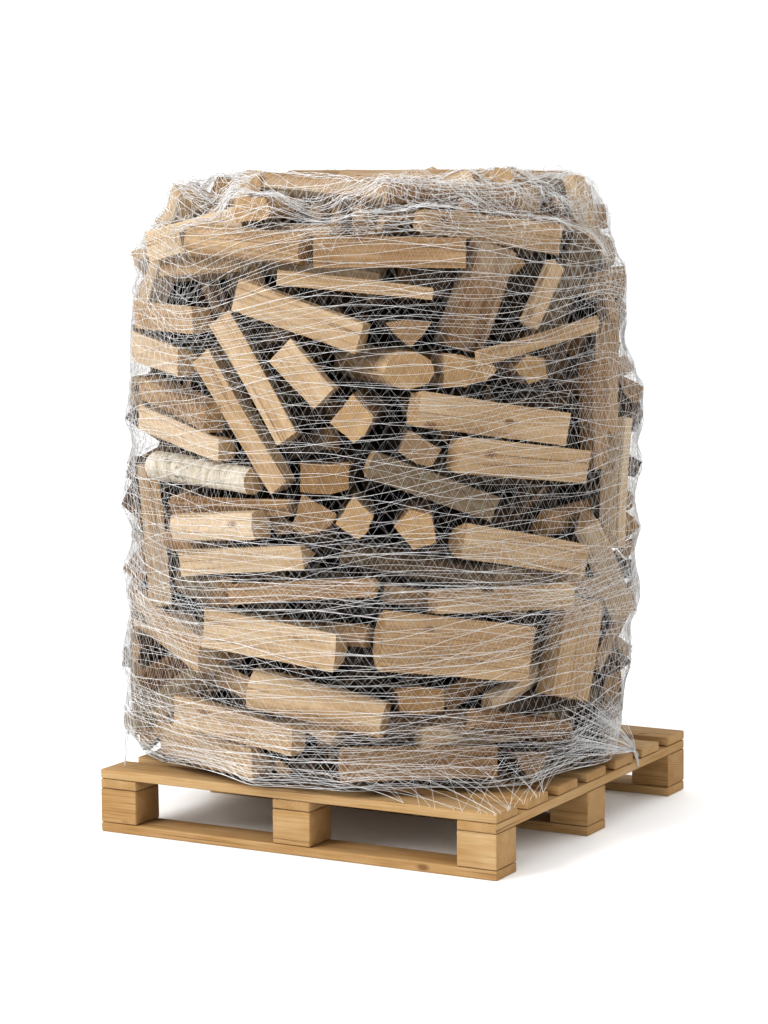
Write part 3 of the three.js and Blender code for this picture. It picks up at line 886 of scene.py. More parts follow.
def first_places(count, low, high, near, far, flat_top):
    """Seeded starting places: mostly lying round the load, some steep, some end-on."""
    angle = rng.uniform(0, TURN, count)
    out, along, up = turned(angle)
    distance = np.sqrt(rng.uniform(near**2, far**2, count))
    height = rng.uniform(low, high, count)
    lean = rng.normal(0, 0.26, count)
    steep = rng.random(count) < (0.0 if flat_top else 0.20)
    lean = np.where(steep, rng.uniform(0.5, 1.5, count) * rng.choice([-1, 1], count), lean)
    dive = rng.normal(0, 0.16, count)
    end_on = rng.random(count) < (0.0 if flat_top else 0.17)
    dive = np.where(end_on, math.pi / 2 + rng.normal(0, 0.15, count), dive)
    dive = rng.uniform(0, math.pi, count) if flat_top else dive
    lean = rng.normal(0, 0.10, count) if flat_top else lean
    level = np.cos(dive)[:, None] * along - np.sin(dive)[:, None] * out
    axis = np.cos(lean)[:, None] * level + np.sin(lean)[:, None] * up
    middle = out * distance[:, None]
    middle = np.stack([middle[:, 0] + CENTRE[0], middle[:, 1] + CENTRE[1], height], -1)
    return middle, axis


def rod_ends(middle, axis, length):
    """A rod's two ends, half its length either way from its middle."""
    return middle[:, None] + np.array([-0.5, 0.5])[:, None] * (axis * length[:, None])[:, None]


def rod_of(wide, thick):
    """The radius of the rod that stands for a billet of this width and thickness."""
    return 0.48 * np.sqrt(wide * thick)


def outward_side(middle, axis):
    """Across each billet, along the load's surface; upwards where the billet is end-on."""
    flat = middle[:, :2] - CENTRE
    out = unit(np.concatenate([flat, np.zeros((len(flat), 1))], -1))
    across = np.cross(out, axis)
    lies = np.linalg.norm(across, axis=-1) > 0.5
    return np.where(lies[:, None], across, np.array([0.0, 0.0, 1.0])), lies


ROD_TRIM = 1.3                        # a rod is this many radii shorter than its billet
KIND_SHARES = [0.42, 0.20, 0.05, 0.19, 0.12, 0.02]  # how often each of KINDS is drawn


def packed_billets(rings, side_count=390, top_count=80, core_count=190):
    """Every billet that has no node of its own, packed round those that have one.

    The ones in SEEN settle first. They then stay put while the rest settle round them.
    Each of the rest is thinned to the room it has, and a deep one with too little room is
    left out."""
    held, held_radius = rods_of(rings)
    held_length = np.linalg.norm(held[:, 1] - held[:, 0], axis=-1)
    middle, axis, seen_long, seen_wide, seen_thick, seen_across, seen_spin = seen_places()
    seen_radius = rod_of(seen_wide, seen_thick)
    ends = rod_ends(middle, axis, seen_long - ROD_TRIM * seen_radius)
    everything = np.concatenate([held, ends])
    lengths = np.concatenate([held_length, seen_long - ROD_TRIM * seen_radius])
    radii = np.concatenate([held_radius, seen_radius])
    fixed = np.arange(len(everything)) < len(held)
    seen_ends = settle(everything, radii, lengths, fixed, 30, 0.0)[len(held):]
    shift = seen_across * (np.maximum(seen_wide - seen_thick, 0) / 2)[:, None]
    pair = np.concatenate([seen_ends + shift[:, None], seen_ends - shift[:, None]])
    everything = np.concatenate([held, pair])
    radii = np.concatenate([held_radius, np.tile(seen_thick * 0.47, 2)])
    lengths = np.linalg.norm(everything[:, 1] - everything[:, 0], axis=-1)
    parts = [
        first_places(side_count, DECK_TOP + 0.04, 1.40, 0.45, 0.57, False),
        first_places(top_count, 1.24, 1.45, 0.0, 0.46, True),
        first_places(core_count, DECK_TOP + 0.04, 1.20, 0.0, 0.40, False),
    ]
    middle = np.concatenate([p[0] for p in parts])
    axis = unit(np.concatenate([p[1] for p in parts]))
    n = len(middle)
    wide = rng.uniform(50, 86, n) * MM
    thick = wide * rng.uniform(0.58, 0.95, n)
    long = rng.normal(332, 8, n) * MM
    radius = rod_of(wide, thick)
    fixed = np.arange(len(everything) + n) < len(everything)
    rod_length = long - ROD_TRIM * radius
    everything = np.concatenate([everything, rod_ends(middle, axis, rod_length)])
    lengths = np.concatenate([lengths, rod_length])
    radii = np.concatenate([radii, radius])
    ends = settle(everything, radii, lengths, fixed, 170, 1.0)
    crowded = crowding(ends, radii, fixed)[-n:]
    fit = np.clip(1 - crowded, LEAST_SIZE, 1)
    wide, thick = wide * fit, thick * fit
    ends = np.concatenate([seen_ends, ends[-n:]])
    middle, axis = ends.mean(1), unit(ends[:, 1] - ends[:, 0])
    across, lies = outward_side(middle, axis)
    spin = np.where(lies, rng.normal(0, 0.35, len(lies)), rng.uniform(0, math.pi, len(lies)))
    spin = spin + np.where(rng.random(len(lies)) < 0.5, math.pi, 0)
    across[:len(SEEN)], spin[:len(SEEN)] = seen_across, seen_spin
    across = unit(across - (across * axis).sum(-1, keepdims=True) * axis)
    deep = np.cross(axis, across)
    across = across * np.cos(spin)[:, None] + deep * np.sin(spin)[:, None]
    kind = rng.choice(len(KINDS), len(lies), p=KIND_SHARES)
    long = np.concatenate([seen_long, long])
    wide, thick = np.concatenate([seen_wide, wide]), np.concatenate([seen_thick, thick])
    packed = Billets(middle, axis, across, long, wide, thick, kind)
    crowded = np.concatenate([np.zeros(len(SEEN)), crowded])
    return packed.take((crowded < TOO_CROWDED) | ~is_deep(packed))


CORNER_SHARE = 0.86                   # worn corners reach this share of a box's half sizes
SWELL = 1.08                          # ridges and bowed sides stand this much prouder
# Near the top, in metres: the most of the seeded drops, the height that they start from
# and the most that a billet goes down.
TOP_DIPS, TOP_FROM, LARGEST_DROP = 0.03, 1.25, 0.05


def trim_to_envelope(billets):
    """Slides a billet inwards by as much as its corners stand out of the envelope.

    Near the top it also drops by a seeded amount, so that the top is uneven, and a low
    one is lifted clear of the deck."""
    half = billets.length[:, None, None] / 2 * np.array([-1, 1])[None, :, None]
    wide = billets.wide[:, None, None, None] / 2 * np.array([-1, 1, -1, 1])[None, None, :, None]
    thick = billets.thick[:, None, None, None] / 2
    thick = thick * np.array([-1, -1, 1, 1])[None, None, :, None]
    corner = billets.centre[:, None, None, :] + half[..., None] * billets.axis[:, None, None, :]
    corner = corner + wide * billets.across[:, None, None, :] * CORNER_SHARE
    corner = corner + thick * billets.deep[:, None, None, :] * CORNER_SHARE
    flat = corner[..., :2] - CENTRE
    far = np.linalg.norm(flat, axis=-1)
    reach = radius_at(corner[..., 2], angle_of(flat))
    over = np.maximum(far - reach, 0).reshape(len(half), -1).max(1)
    out = billets.centre[:, :2] - CENTRE
    out = out / np.maximum(np.linalg.norm(out, axis=-1, keepdims=True), 0.2)
    billets.centre[:, :2] -= out * over[:, None]
    above = (corner[..., 2] - top_at(far)).reshape(len(half), -1).max(1)
    dips = np.random.default_rng(19).uniform(0, TOP_DIPS, len(half))
    above = np.where(billets.centre[:, 2] > TOP_FROM, np.maximum(above + dips, 0), 0)
    billets.centre[:, 2] -= np.minimum(above, LARGEST_DROP)
    tall = billets.length * np.abs(billets.axis[:, 2])
    tall = tall + SWELL * billets.wide * np.abs(billets.across[:, 2])
    tall = tall + SWELL * billets.thick * np.abs(billets.deep[:, 2])
    below = DECK_TOP + 1 * MM - (billets.centre[:, 2] - tall / 2)
    billets.centre[:, 2] += np.maximum(below, 0)
    return billets


TAN_SHARE = 0.42                      # of the loose billets, the others are pale
packed = trim_to_envelope(packed_billets(named_billets()))
bands = [("billets_base", DECK_TOP, 0.50), ("billets_low", 0.50, 0.82),
         ("billets_middle", 0.82, 1.12), ("billets_high", 1.12, 1.30),
         ("billets_top", 1.30, 1.60)]
for band, low, high in bands:
    inside = (packed.centre[:, 2] >= low) & (packed.centre[:, 2] < high)
    some = packed.take(inside)
    look = (rng.random(inside.sum()) < TAN_SHARE).astype(int)
    # Deep billets take the tan finish, as part of their painted shade.
    look[is_deep(some)] = 1
    piece = billet_group(band, some, wood_list, look)
    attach(piece, "root")
    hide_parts("billet_pile")


# ---- pallet ---------------------------------------------------------------------------
ARRIS = 2.5 * MM


def rounded_outline(wide, thick, per_corner=4):
    """A rectangle's outline with round arrises: corner centres plus quarter circles."""
    corner = np.array([[1, 1], [-1, 1], [-1, -1], [1, -1]])
    centres = corner * (np.array([wide, thick]) / 2 - ARRIS)
    angle = (np.arange(4)[:, None] + np.linspace(0, 1, per_corner)[None]) * math.pi / 2
    arc = np.stack([np.cos(angle), np.sin(angle)], -1) * ARRIS
    return (centres[:, None] + arc).reshape(-1, 2)


def pallet_board(node):
    """A sawn board: a rounded rectangle carried along its length, a little out of true.

    The outline shrinks by the arris at both ends, and its sides wave by part of a
    millimetre, inwards only, so the board keeps its CAD box."""
    low, high = (np.array(corner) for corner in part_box(node))
    size = high - low
    run = 1 if node.startswith("stringer") else 0
    cross = [axis for axis in (0, 1, 2) if axis != run]
    outline = rounded_outline(size[cross[0]], size[cross[1]])
    inset = np.array([ARRIS, 0.4 * ARRIS, 0, *np.zeros(15), 0, 0.4 * ARRIS, ARRIS])
    lengthwise = np.concatenate([[0, 0.3 * ARRIS, ARRIS],
                                 np.linspace(0.02, 0.98, 15) * size[run],
                                 size[run] - np.array([ARRIS, 0.3 * ARRIS, 0])])
    rings, sides = len(lengthwise), len(outline)
    half = size[cross] / 2
    body = outline[None] - np.sign(outline)[None] * inset[:, None, None]
    wave = np.abs(smooth_random((sides, rings), 0, 1.0 * MM, 3)).T
    body = body - np.sign(body) * wave[..., None] * (np.abs(body) > half * 0.6)
    points = np.zeros((rings, sides, 3))
    middle = (low + high) / 2
    points[..., run] = low[run] + lengthwise[:, None]
    points[..., cross[0]] = middle[cross[0]] + body[..., 0]
    points[..., cross[1]] = middle[cross[1]] + body[..., 1]
    quads, fans = loft_faces(1, rings, sides)
    if run == 1:
        quads, fans = quads[..., ::-1], fans[..., ::-1]
    ends = np.full(2 * sides, 1)
    walls = np.zeros((rings - 1) * sides)
    walls[:sides] = walls[-sides:] = 1
    piece = surface("sawn_" + node, close_ends(points[None]).reshape(-1, 3), quads, fans,
                    [wood_finishes["board"], wood_finishes["board_end"]],
                    np.concatenate([walls, ends]), smooth_below=math.radians(50))
    heart = rng.uniform(-1.2, 1.2, 2) * size[cross] + np.array([0, 0.03])
    grain = np.zeros((rings, sides, 3))
    grain[..., 0] = lengthwise[:, None] + rng.uniform(0, 60)
    grain[..., 1:] = body - heart
    write_vectors(piece, "grain", close_ends(grain[None]).reshape(-1, 3))
    tone = rng.uniform(0.45, 0.8)
    write_vectors(piece, "tint", np.tile([tone, rng.uniform(0, 0.15), 0.5],
                                         (rings * sides + 2, 1)))
    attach(piece, "root")
    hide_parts(node)


for node in sorted(frame["nodes"]):
    if not node.startswith(("billet", "net")):
        pallet_board(node)


# ---- the net --------------------------------------------------------------------------
ROWS, COLUMNS = 170, 540


def wall_frame(count):
    """Evenly spaced places up the net's wall: radius, height, outward slope and arc length."""
    path = WALL - [[NET_ROOM - 1.5 * MM, 0]]
    steps = np.concatenate([[0], np.cumsum(np.linalg.norm(np.diff(path, axis=0), axis=1))])
    at = np.linspace(0, steps[-1], count)
    radius, height = np.interp(at, steps, path[:, 0]), np.interp(at, steps, path[:, 1])
    slope = np.stack([np.gradient(radius), np.gradient(height)], -1)
    for _ in range(6):
        slope[1:-1] = (slope[:-2] + slope[1:-1] + slope[2:]) / 3
    slope = unit(slope)
    return radius, height, np.stack([slope[:, 1], -slope[:, 0]], -1), at


SKIN_DEPTH = 0.07                     # wood further in than this can't touch the net
THREAD_ROOM = 1.2 * MM                # from the wood to the net
DRAPE = 0.2 * MM                      # how much a cell hangs where the net lies flat
SLACK_LIMIT, NO_WOOD = -0.03, -0.10   # the least offset of the net, and of an empty cell
# How much a cell follows its neighbours round the load, and those above and below it.
ROUND_SHARE, UP_SHARE, SKIN_ROUNDS = 0.93, 0.07, 1400


def wood_cloud():
    """Points all over the outside of the wood, with more between each billet's rings."""
    clouds = []
    for piece in bpy.data.objects:
        if piece.name.startswith(("split_", "billets_")):
            co = points_of(piece.data)
            ends = np.zeros(len(piece.data.edges) * 2, np.int32)
            piece.data.edges.foreach_get("vertices", ends)
            ends = ends.reshape(-1, 2)
            far = np.hypot(co[:, 0] - CENTRE[0], co[:, 1] - CENTRE[1])
            angle = angle_of(co[:, :2] - CENTRE)
            outer = far > radius_at(co[:, 2], angle) - SKIN_DEPTH
            outer = outer | (co[:, 2] > top_at(far) - SKIN_DEPTH)
            ends = ends[outer[ends].all(1)]
            a, b = co[ends[:, 0]], co[ends[:, 1]]
            clouds += [a + (b - a) * t for t in (0.0, 0.2, 0.4, 0.6, 0.8, 1.0)]
    return np.concatenate(clouds)


def taut_skin():
    """How far the stretched net stands out of the wall at each row and column.

    The wood's points give the least offset in each cell. The net is then pulled straight
    round the load: each cell takes the larger of its own wood and the mean of its
    neighbours less the sag of a straight thread over a curve, until it stops moving."""
    radius, height, normal, _ = wall_frame(ROWS)
    cloud = wood_cloud()
    far = np.hypot(cloud[:, 0] - CENTRE[0], cloud[:, 1] - CENTRE[1])
    angle = angle_of(cloud[:, :2] - CENTRE) % TURN
    flat = np.stack([far, cloud[:, 2]], -1).astype(np.float32)
    row = np.zeros(len(flat), int)
    for start in range(0, len(flat), 20000):
        block = flat[start:start + 20000]
        gap = ((block[:, None, 0] - radius) ** 2 + (block[:, None, 1] - height) ** 2)
        row[start:start + 20000] = gap.argmin(1)
    offset = ((flat - np.stack([radius, height], -1)[row]) * normal[row]).sum(-1)
    column = (angle / TURN * COLUMNS).astype(int) % COLUMNS
    wood = np.full((ROWS, COLUMNS), NO_WOOD)
    np.maximum.at(wood, (row, column), offset)
    wood = np.maximum.reduce([wood, np.roll(wood, 1, 1), np.roll(wood, -1, 1)])
    padded = np.vstack([wood[:1], wood, wood[-1:]])
    wood = np.maximum.reduce([wood, padded[:-2], padded[2:]]) + THREAD_ROOM
    step = TURN / COLUMNS
    pull = radius * (1 - math.cos(step)) * np.maximum(normal[:, 0], 0.0)
    pull = (pull + DRAPE * np.maximum(normal[:, 1], 0.0))[:, None]
    skin = np.maximum(wood, SLACK_LIMIT)
    for _ in range(SKIN_ROUNDS):
        beside = (np.roll(skin, 1, 1) + np.roll(skin, -1, 1)) / 2 - pull
        above = np.vstack([skin[:1], skin[:-1]]) + np.vstack([skin[1:], skin[-1:]])
        skin = np.maximum(wood, ROUND_SHARE * beside + UP_SHARE * above / 2)
    return skin


SKIN = taut_skin()
WALL_RADIUS, WALL_HEIGHT, WALL_NORMAL, WALL_AT = wall_frame(ROWS)
NET_HEIGHT = WALL_AT[-1]


def on_net(angle, at, lift=0.0):
    """Points on the net at angles round the load and distances up its wall, and the
    outward directions there. Between cells the skin is blended in both directions."""
    column = (angle / TURN * COLUMNS) % COLUMNS
    row = np.clip(at / NET_HEIGHT * (ROWS - 1), 0, ROWS - 1.001)
    c0, r0 = np.floor(column).astype(int) % COLUMNS, np.floor(row).astype(int)
    c1, r1 = (c0 + 1) % COLUMNS, r0 + 1
    fc, fr = column - np.floor(column), row - r0
    off = ((SKIN[r0, c0] * (1 - fc) + SKIN[r0, c1] * fc) * (1 - fr)
           + (SKIN[r1, c0] * (1 - fc) + SKIN[r1, c1] * fc) * fr) + lift
    radius = WALL_RADIUS[r0] * (1 - fr) + WALL_RADIUS[r1] * fr
    height = WALL_HEIGHT[r0] * (1 - fr) + WALL_HEIGHT[r1] * fr
    lean = unit(WALL_NORMAL[r0] * (1 - fr)[..., None] + WALL_NORMAL[r1] * fr[..., None])
    out, _, up = turned(angle)
    normal = out * lean[..., 0:1] + up * lean[..., 1:2]
    base = out * radius[..., None] + up * height[..., None]
    base = base + np.array([CENTRE[0], CENTRE[1], 0.0])
    return base + normal * off[..., None], normal


def thread_rings(path, normal, thick, closed):
    """Three-sided rings round each point of each path: a thread's skin.

    Each ring's points are path + thick / 2 (cos a * normal + sin a * side)."""
    if closed:
        run = np.roll(path, -1, 1) - np.roll(path, 1, 1)
    else:
        run = np.gradient(path, axis=1)
    run = unit(run)
    side = unit(np.cross(run, normal))
    normal = np.cross(side, run)
    angle = np.arange(3) / 3 * TURN
    ring = (np.cos(angle)[:, None] * normal[..., None, :]
            + np.sin(angle)[:, None] * side[..., None, :])
    return path[..., None, :] + ring * (thick / 2)[..., None, None]


def tubes(path, normal, thick, closed=True):
    """Corner points and faces of many threads. Closed ones are rings; open ones are capped."""
    rings = thread_rings(path, normal, np.broadcast_to(thick, path.shape[:2]), closed)
    count, points, sides, _ = rings.shape
    i, m = np.meshgrid(np.arange(points if closed else points - 1), np.arange(sides),
                       indexing="ij")
    after, around = (i + 1) % points, (m + 1) % sides
    one = np.stack([i * sides + m, i * sides + around, after * sides + around,
                    after * sides + m], -1).reshape(-1, 4)
    shift = (np.arange(count) * points * sides)[:, None, None]
    caps = np.zeros((0, 3), int)
    if not closed:
        last = (points - 1) * sides
        caps = np.array([[2, 1, 0], [last, last + 1, last + 2]])[None] + shift
    return rings.reshape(-1, 3), (one[None] + shift).reshape(-1, 4), caps.reshape(-1, 3)


def net_piece(name, *parts):
    """Joins the threads of one part of the net in one mesh."""
    sizes = np.cumsum([0] + [len(points) for points, _, _ in parts])
    points = np.concatenate([part[0] for part in parts])
    quads = np.concatenate([part[1] + start for part, start in zip(parts, sizes)])
    caps = np.concatenate([part[2] + start for part, start in zip(parts, sizes)])
    piece = surface(name, points, quads, caps, [thread_finish],
                    smooth_below=math.radians(130))
    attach(piece, "root")
    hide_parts("net")


# Where wood holds the net: turn in degrees, distance up the net, half width and half
# height of the place in metres, how strongly lines draw together and how far they dip.
HOLDS = [
    (-20, 1.13, 0.24, 0.17, 0.10, 0.075), (80, 0.40, 0.20, 0.13, 0.45, 0.000),
    (-32, 0.42, 0.22, 0.10, 0.35, 0.020), (-2, 0.61, 0.26, 0.07, 0.40, 0.012),
    (52, 0.47, 0.26, 0.06, 0.40, 0.000), (14, 0.27, 0.22, 0.07, 0.40, 0.010),
    (30, 1.24, 0.20, 0.07, 0.40, -0.010), (92, 1.05, 0.20, 0.12, 0.35, -0.030),
    (-48, 0.85, 0.18, 0.10, 0.30, 0.030), (170, 0.70, 0.30, 0.10, 0.40, 0.020),
    (230, 1.00, 0.30, 0.12, 0.35, 0.030), (140, 0.35, 0.25, 0.10, 0.35, -0.020),
]
SKIN_RADIUS = 0.6


def held(angle, at):
    """Moves the net's lines towards each hold and lets them dip there.

    The change is (dip + strength * (at - hold)) times a bell shape in turn and height."""
    change = np.zeros(np.broadcast(angle, at).shape)
    for degrees, level, half_wide, half_high, strength, dip in HOLDS:
        apart = (angle - math.radians(degrees) + math.pi) % TURN - math.pi
        bell = np.exp(-(apart * SKIN_RADIUS / half_wide) ** 2
                      - ((at - level) / half_high) ** 2)
        change = change - bell * (dip + strength * (at - level))
    return change


def waves(angle, at, seed):
    """How a pass of net bunches and spreads as it goes round: a sum of slow waves."""
    a, b, c, d = np.random.default_rng(seed).uniform(0, TURN, 4)
    return (0.034 * np.sin(angle + 2 * at + d) + 0.014 * np.sin(2 * angle + 6 * at + a)
            + 0.008 * np.sin(5 * angle - 15 * at + b) + 0.004 * np.sin(9 * angle + 28 * at + c))


def rim_edge(angle):
    """How far up the net its drawn-in end reaches: a sum of three waves round the rim."""
    wave = 12 * np.sin(5 * angle + 1) + 9 * np.sin(9 * angle + 4) + 5 * np.sin(23 * angle)
    return NET_HEIGHT - (28 + wave) * MM


def net_pass(name, low, high, spacing, periods, seed, slack=0.0):
    """One pass of net: knitted lines round the load, and zigzags from line to line."""
    draw = np.random.default_rng(seed)
    count = int((high - low) / spacing)
    level = low + (high - low) * (np.arange(count) + 0.5) / count
    level = level + 0.30 * spacing * np.sin(level * TURN / 0.17 + seed)
    angle = np.linspace(0, TURN, 240, endpoint=False)[None] + np.zeros((count, 1))
    jitter = draw.normal(0, 0.9 * MM, (count, 60))
    jitter = np.stack([np.interp(angle[0] / TURN * 60, np.arange(61), np.append(j, j[0]))
                       for j in jitter])

    def at_of(level, angle):
        at = level + waves(angle, level, seed) * (1 + slack)
        return at + held(angle, at)

    def lift_of(level, angle):
        rise = np.clip((level - (NET_HEIGHT - 0.42)) / 0.2, 0, 1) * slack
        return (1.0 + 14 * rise * (0.5 + 0.5 * np.sin(13 * angle + 40 * level + seed))) * MM

    at = at_of(level[:, None] + np.zeros_like(angle), angle) + jitter
    at = np.clip(at, 0.002, rim_edge(angle) - draw.uniform(0, 0.014, (count, 1)))
    path, normal = on_net(angle, at, lift_of(level[:, None], angle))
    lines = tubes(path, normal, draw.uniform(0.65, 1.35, (count, 1)) * MM)

    turn = np.linspace(0, TURN, 2 * periods, endpoint=False)[None]
    turn = turn + draw.uniform(0, TURN / periods, (count - 1, 1))
    odd = np.arange(2 * periods) % 2 == 1
    knots = np.where(odd, level[1:, None], level[:-1, None])
    picked = np.stack([np.interp(turn[0] % TURN, angle[0], row, period=TURN) for row in jitter])
    nudge = np.where(odd, picked[1:], picked[:-1])
    at = np.clip(at_of(knots, turn) + nudge, 0.002, rim_edge(turn))
    path, normal = on_net(turn % TURN, at, lift_of(knots, turn))
    net_piece(name, lines, tubes(path, normal, 0.75 * MM))


net_pass("net_first", 0.0, NET_HEIGHT, 0.027, 96, 3)
net_pass("net_second", 0.0, NET_HEIGHT, 0.029, 92, 8, slack=0.6)
net_pass("net_third", 0.0, NET_HEIGHT - 0.1, 0.032, 100, 21, slack=0.3)
net_pass("net_belt", 0.30, 0.56, 0.020, 96, 12)
net_pass("net_foot", 0.0, 0.19, 0.016, 96, 17)


def rim_tangle(count=190, points=44):
    """Loose thread round the rim: short wandering runs that stand a little off the wood.

    Each run wanders in turn and height as a sum of sine waves with seeded phases. Two in
    three lie in the places where the net's end was gathered."""
    draw = np.random.default_rng(5)
    x = np.linspace(0, 1, points)[None]
    phase = draw.uniform(0, TURN, (6, count, 1))
    gathered = np.radians(draw.choice([-42, -30, 18, 36, 50, 92, 200], (count, 1)))
    start = gathered + draw.normal(0, 0.2, (count, 1))
    start = np.where(draw.random((count, 1)) < 0.66, start, draw.uniform(0, TURN, (count, 1)))
    level = NET_HEIGHT - 0.20 + draw.normal(0, 0.05, (count, 1))
    turn = start + x * draw.uniform(0.15, 0.55, (count, 1))
    turn = turn + 0.03 * np.sin(9 * x + phase[0]) + 0.012 * np.sin(31 * x + phase[1])
    at = level + 0.030 * np.sin(7 * x + phase[2]) + 0.012 * np.sin(23 * x + phase[3])
    lift = 7 + 8 * np.sin(8 * x + phase[4]) + 4 * np.sin(19 * x + phase[5])
    lift = np.maximum(lift * np.sin(math.pi * x), 0) * MM + 1 * MM
    path, normal = on_net(turn % TURN, np.clip(at, 0, NET_HEIGHT - 0.01), lift)
    net_piece("net_rim_tangle", tubes(path, normal, 0.75 * MM, closed=False))


def hanging(start, end, count, spread, twist, bow, seed, points=40):
    """A bunch of threads from one place, or from one place each, to another.

    Point = start + x (end - start) + 4 x (1 - x) * bow away from the load's axis + a
    circle of radius `spread` that turns `twist` times and narrows to the end."""
    draw = np.random.default_rng(seed)
    start, end = np.array(start).reshape(-1, 1, 3), np.array(end)
    x = np.linspace(0, 1, points)[None, :, None]
    ahead = unit(end - start)
    side = unit(np.cross(ahead, [0, 0, 1.0]))
    above = np.cross(side, ahead)
    phase = draw.uniform(0, TURN, (count, 1, 1))
    far = spread * draw.uniform(0.1, 1.0, (count, 1, 1)) * (1.2 - x)
    turn = phase + TURN * twist * x + 0.3 * np.sin(9 * x + phase)
    path = start + x * (end - start)
    away = np.concatenate([unit(path[..., :2] - CENTRE), np.zeros_like(path[..., :1])], -1)
    path = path + (4 * x * (1 - x)) * (bow * away)
    path = path + far * (np.cos(turn) * side + np.sin(turn) * above)
    normal = np.broadcast_to(above, path.shape)
    return tubes(path, normal, 0.9 * MM, closed=False)


def deck_corner():
    """The deck's front right corner, at its top."""
    low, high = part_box("deck_board_1")
    return np.array([high[0], low[1], high[2]])


def lap(count=34, points=30, reach=0.22, drop=5 * MM):
    """Threads that leave the foot of the load, lie over the deck's front right corner and
    turn down over its two edges.

    Each runs straight from the wood to the edge with an arch of 4 x (1 - x), then down.
    Every second one is slanted the other way by its own amount, so that they cross."""
    draw = np.random.default_rng(61)
    corner = deck_corner()
    share = np.linspace(-1, 1, count)
    slant = np.where(np.arange(count) % 2, 1, -1) * draw.uniform(0.1, 0.6, count)
    degrees = 46 + 30 * share
    start, _ = on_net(np.radians(degrees)[:, None], draw.uniform(0.02, 0.09, (count, 1)), 2 * MM)
    at_edge = np.clip(share + slant, -1, 1)
    right = np.maximum(at_edge, 0) * reach
    front = np.maximum(-at_edge, 0) * reach
    outward = np.stack([at_edge > 0, at_edge <= 0, np.zeros(count)], -1) * [1, -1, 0] * 1.5 * MM
    edge = corner + np.stack([-front, right, np.full(count, 1.5 * MM)], -1) + outward
    x = np.linspace(0, 1, points)[None, :, None]
    path = start + x * (edge[:, None] - start)
    path[..., 2:] += 8 * MM * 4 * x * (1 - x)
    down = edge[:, None] - np.linspace(0.1, 1, 8)[None, :, None] * [0, 0, drop]
    path = np.concatenate([path, down], 1)
    normal = unit(outward + [0, 0, 1 * MM])[:, None] + np.zeros_like(path)
    return tubes(path, normal, 0.7 * MM, closed=False)


def ties():
    """The net's end: a tail drawn together and hooked under the deck, and corner pulls."""
    edge, front, _ = deck_corner()
    over = (edge + 5 * MM, 0.20, DECK_TOP + 0.004)
    hook = (edge + 5 * MM, 0.22, DECK_TOP - 0.035)
    draw = np.random.default_rng(40)
    turn, at = np.radians(draw.uniform(66, 92, (60, 1))), draw.uniform(0.05, 0.21, (60, 1))
    start, _ = on_net(turn, at, 2 * MM)
    tail = hanging(start[:, 0], over, 60, 5 * MM, 0.5, 16 * MM, 41)
    end = hanging(over, hook, 20, 5 * MM, 0.7, 0.0, 42, points=16)
    net_piece("net_tail", tail, end)
    left = (-edge + 0.04, front + 0.04, DECK_TOP + 0.003)
    pull, _ = on_net(np.array([[math.radians(-44) % TURN]]), np.array([[0.10]]), 5 * MM)
    net_piece("net_corner_ties", hanging(pull[0, 0], left, 9, 7 * MM, 0.1, 0.0, 44), lap())


rim_tangle()
ties()

# ---- camera, floor and light ----------------------------------------------------------
CAMERA_PLACE = (3.055, -5.570, 1.454)
CAMERA_YAW, CAMERA_DOWN, CAMERA_ROLL = (math.radians(a) for a in (-29.06, 6.78, -0.46))
LENS_MM = 97.7


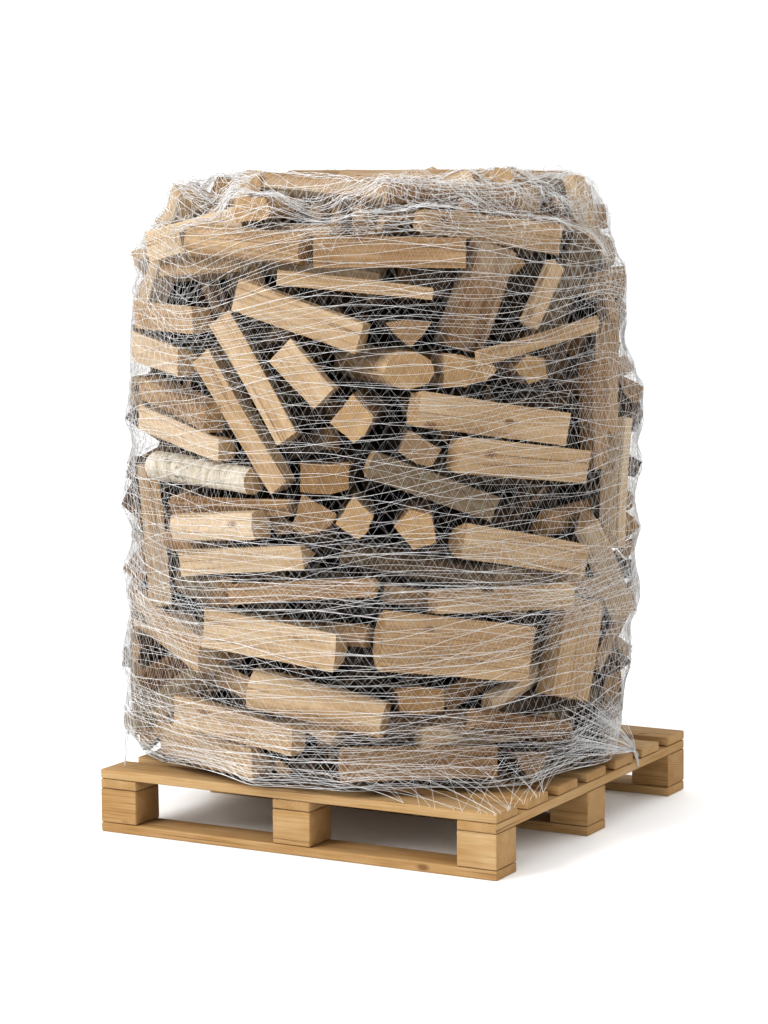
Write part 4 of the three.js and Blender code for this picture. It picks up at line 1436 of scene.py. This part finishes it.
def camera():
    """A camera at the viewing angle: it looks along yaw and down, then rolls a little."""
    ahead = np.array([math.sin(CAMERA_YAW) * math.cos(CAMERA_DOWN),
                      math.cos(CAMERA_YAW) * math.cos(CAMERA_DOWN), -math.sin(CAMERA_DOWN)])
    right = np.array([math.cos(CAMERA_YAW), -math.sin(CAMERA_YAW), 0.0])
    up = np.cross(right, ahead)
    c, s = math.cos(CAMERA_ROLL), math.sin(CAMERA_ROLL)
    right, up = c * right + s * up, c * up - s * right
    turn = np.stack([right, up, -ahead], 1)
    made = bpy.data.objects.new("camera", bpy.data.cameras.new("camera"))
    bpy.context.scene.collection.objects.link(made)
    made.matrix_world = Matrix.Translation(CAMERA_PLACE) @ Matrix(turn.tolist()).to_4x4()
    made.data.lens = LENS_MM
    made.data.clip_end = 200
    bpy.context.scene.camera = made


def floor():
    """A wide plain floor, in a pale finish with very faint cloudiness."""
    half = 60.0
    points = np.array([[-half, -half, 0], [half, -half, 0], [half, half, 0], [-half, half, 0]])
    make = Finish("pale_floor", roughness=0.6, specular=0.2)
    cloud = make.noise(make.stretched(make.place(), (0.6, 0.6, 0.6)), detail=2)
    colour = make.ramp(cloud, [(0.3, (0.95, 0.95, 0.95)), (0.7, (0.97, 0.97, 0.97))])
    material = make.finish(colour, cloud, 0.1 * MM, strength=0.05)
    piece = surface("floor", points, np.array([[0, 1, 2, 3]]), np.zeros((0, 3), int), [material])


def lamp(name, place, aim, size, power):
    """A soft square lamp that faces a point."""
    made = bpy.data.objects.new(name, bpy.data.lights.new(name, "AREA"))
    made.data.size = size
    made.data.energy = power
    bpy.context.scene.collection.objects.link(made)
    ahead = unit(np.array(aim, float) - np.array(place, float))
    side = unit(np.cross(ahead, [0, 0, 1.0]))
    turn = np.stack([side, np.cross(side, ahead), -ahead], 1)
    made.matrix_world = Matrix.Translation(place) @ Matrix(turn.tolist()).to_4x4()


def studio():
    """Even white surroundings, with a key, a fill and a back lamp."""
    world = bpy.data.worlds.new("studio")
    bpy.context.scene.world = world
    world.use_nodes = True
    world.node_tree.nodes["Background"].inputs[0].default_value = (1.0, 1.0, 1.0, 1.0)
    world.node_tree.nodes["Background"].inputs[1].default_value = 1.05
    lamp("key", (-2.5, -5.0, 4.2), (0, 0, 0.8), 3.0, 300)
    lamp("fill", (4.5, -3.0, 2.5), (0, 0, 0.7), 3.0, 15)
    lamp("back", (1.0, 4.5, 4.5), (0, 0, 0.8), 3.0, 40)
    bpy.context.scene.view_settings.view_transform = "Standard"
    bpy.context.scene.view_settings.look = "Medium High Contrast"


camera()
floor()
studio()
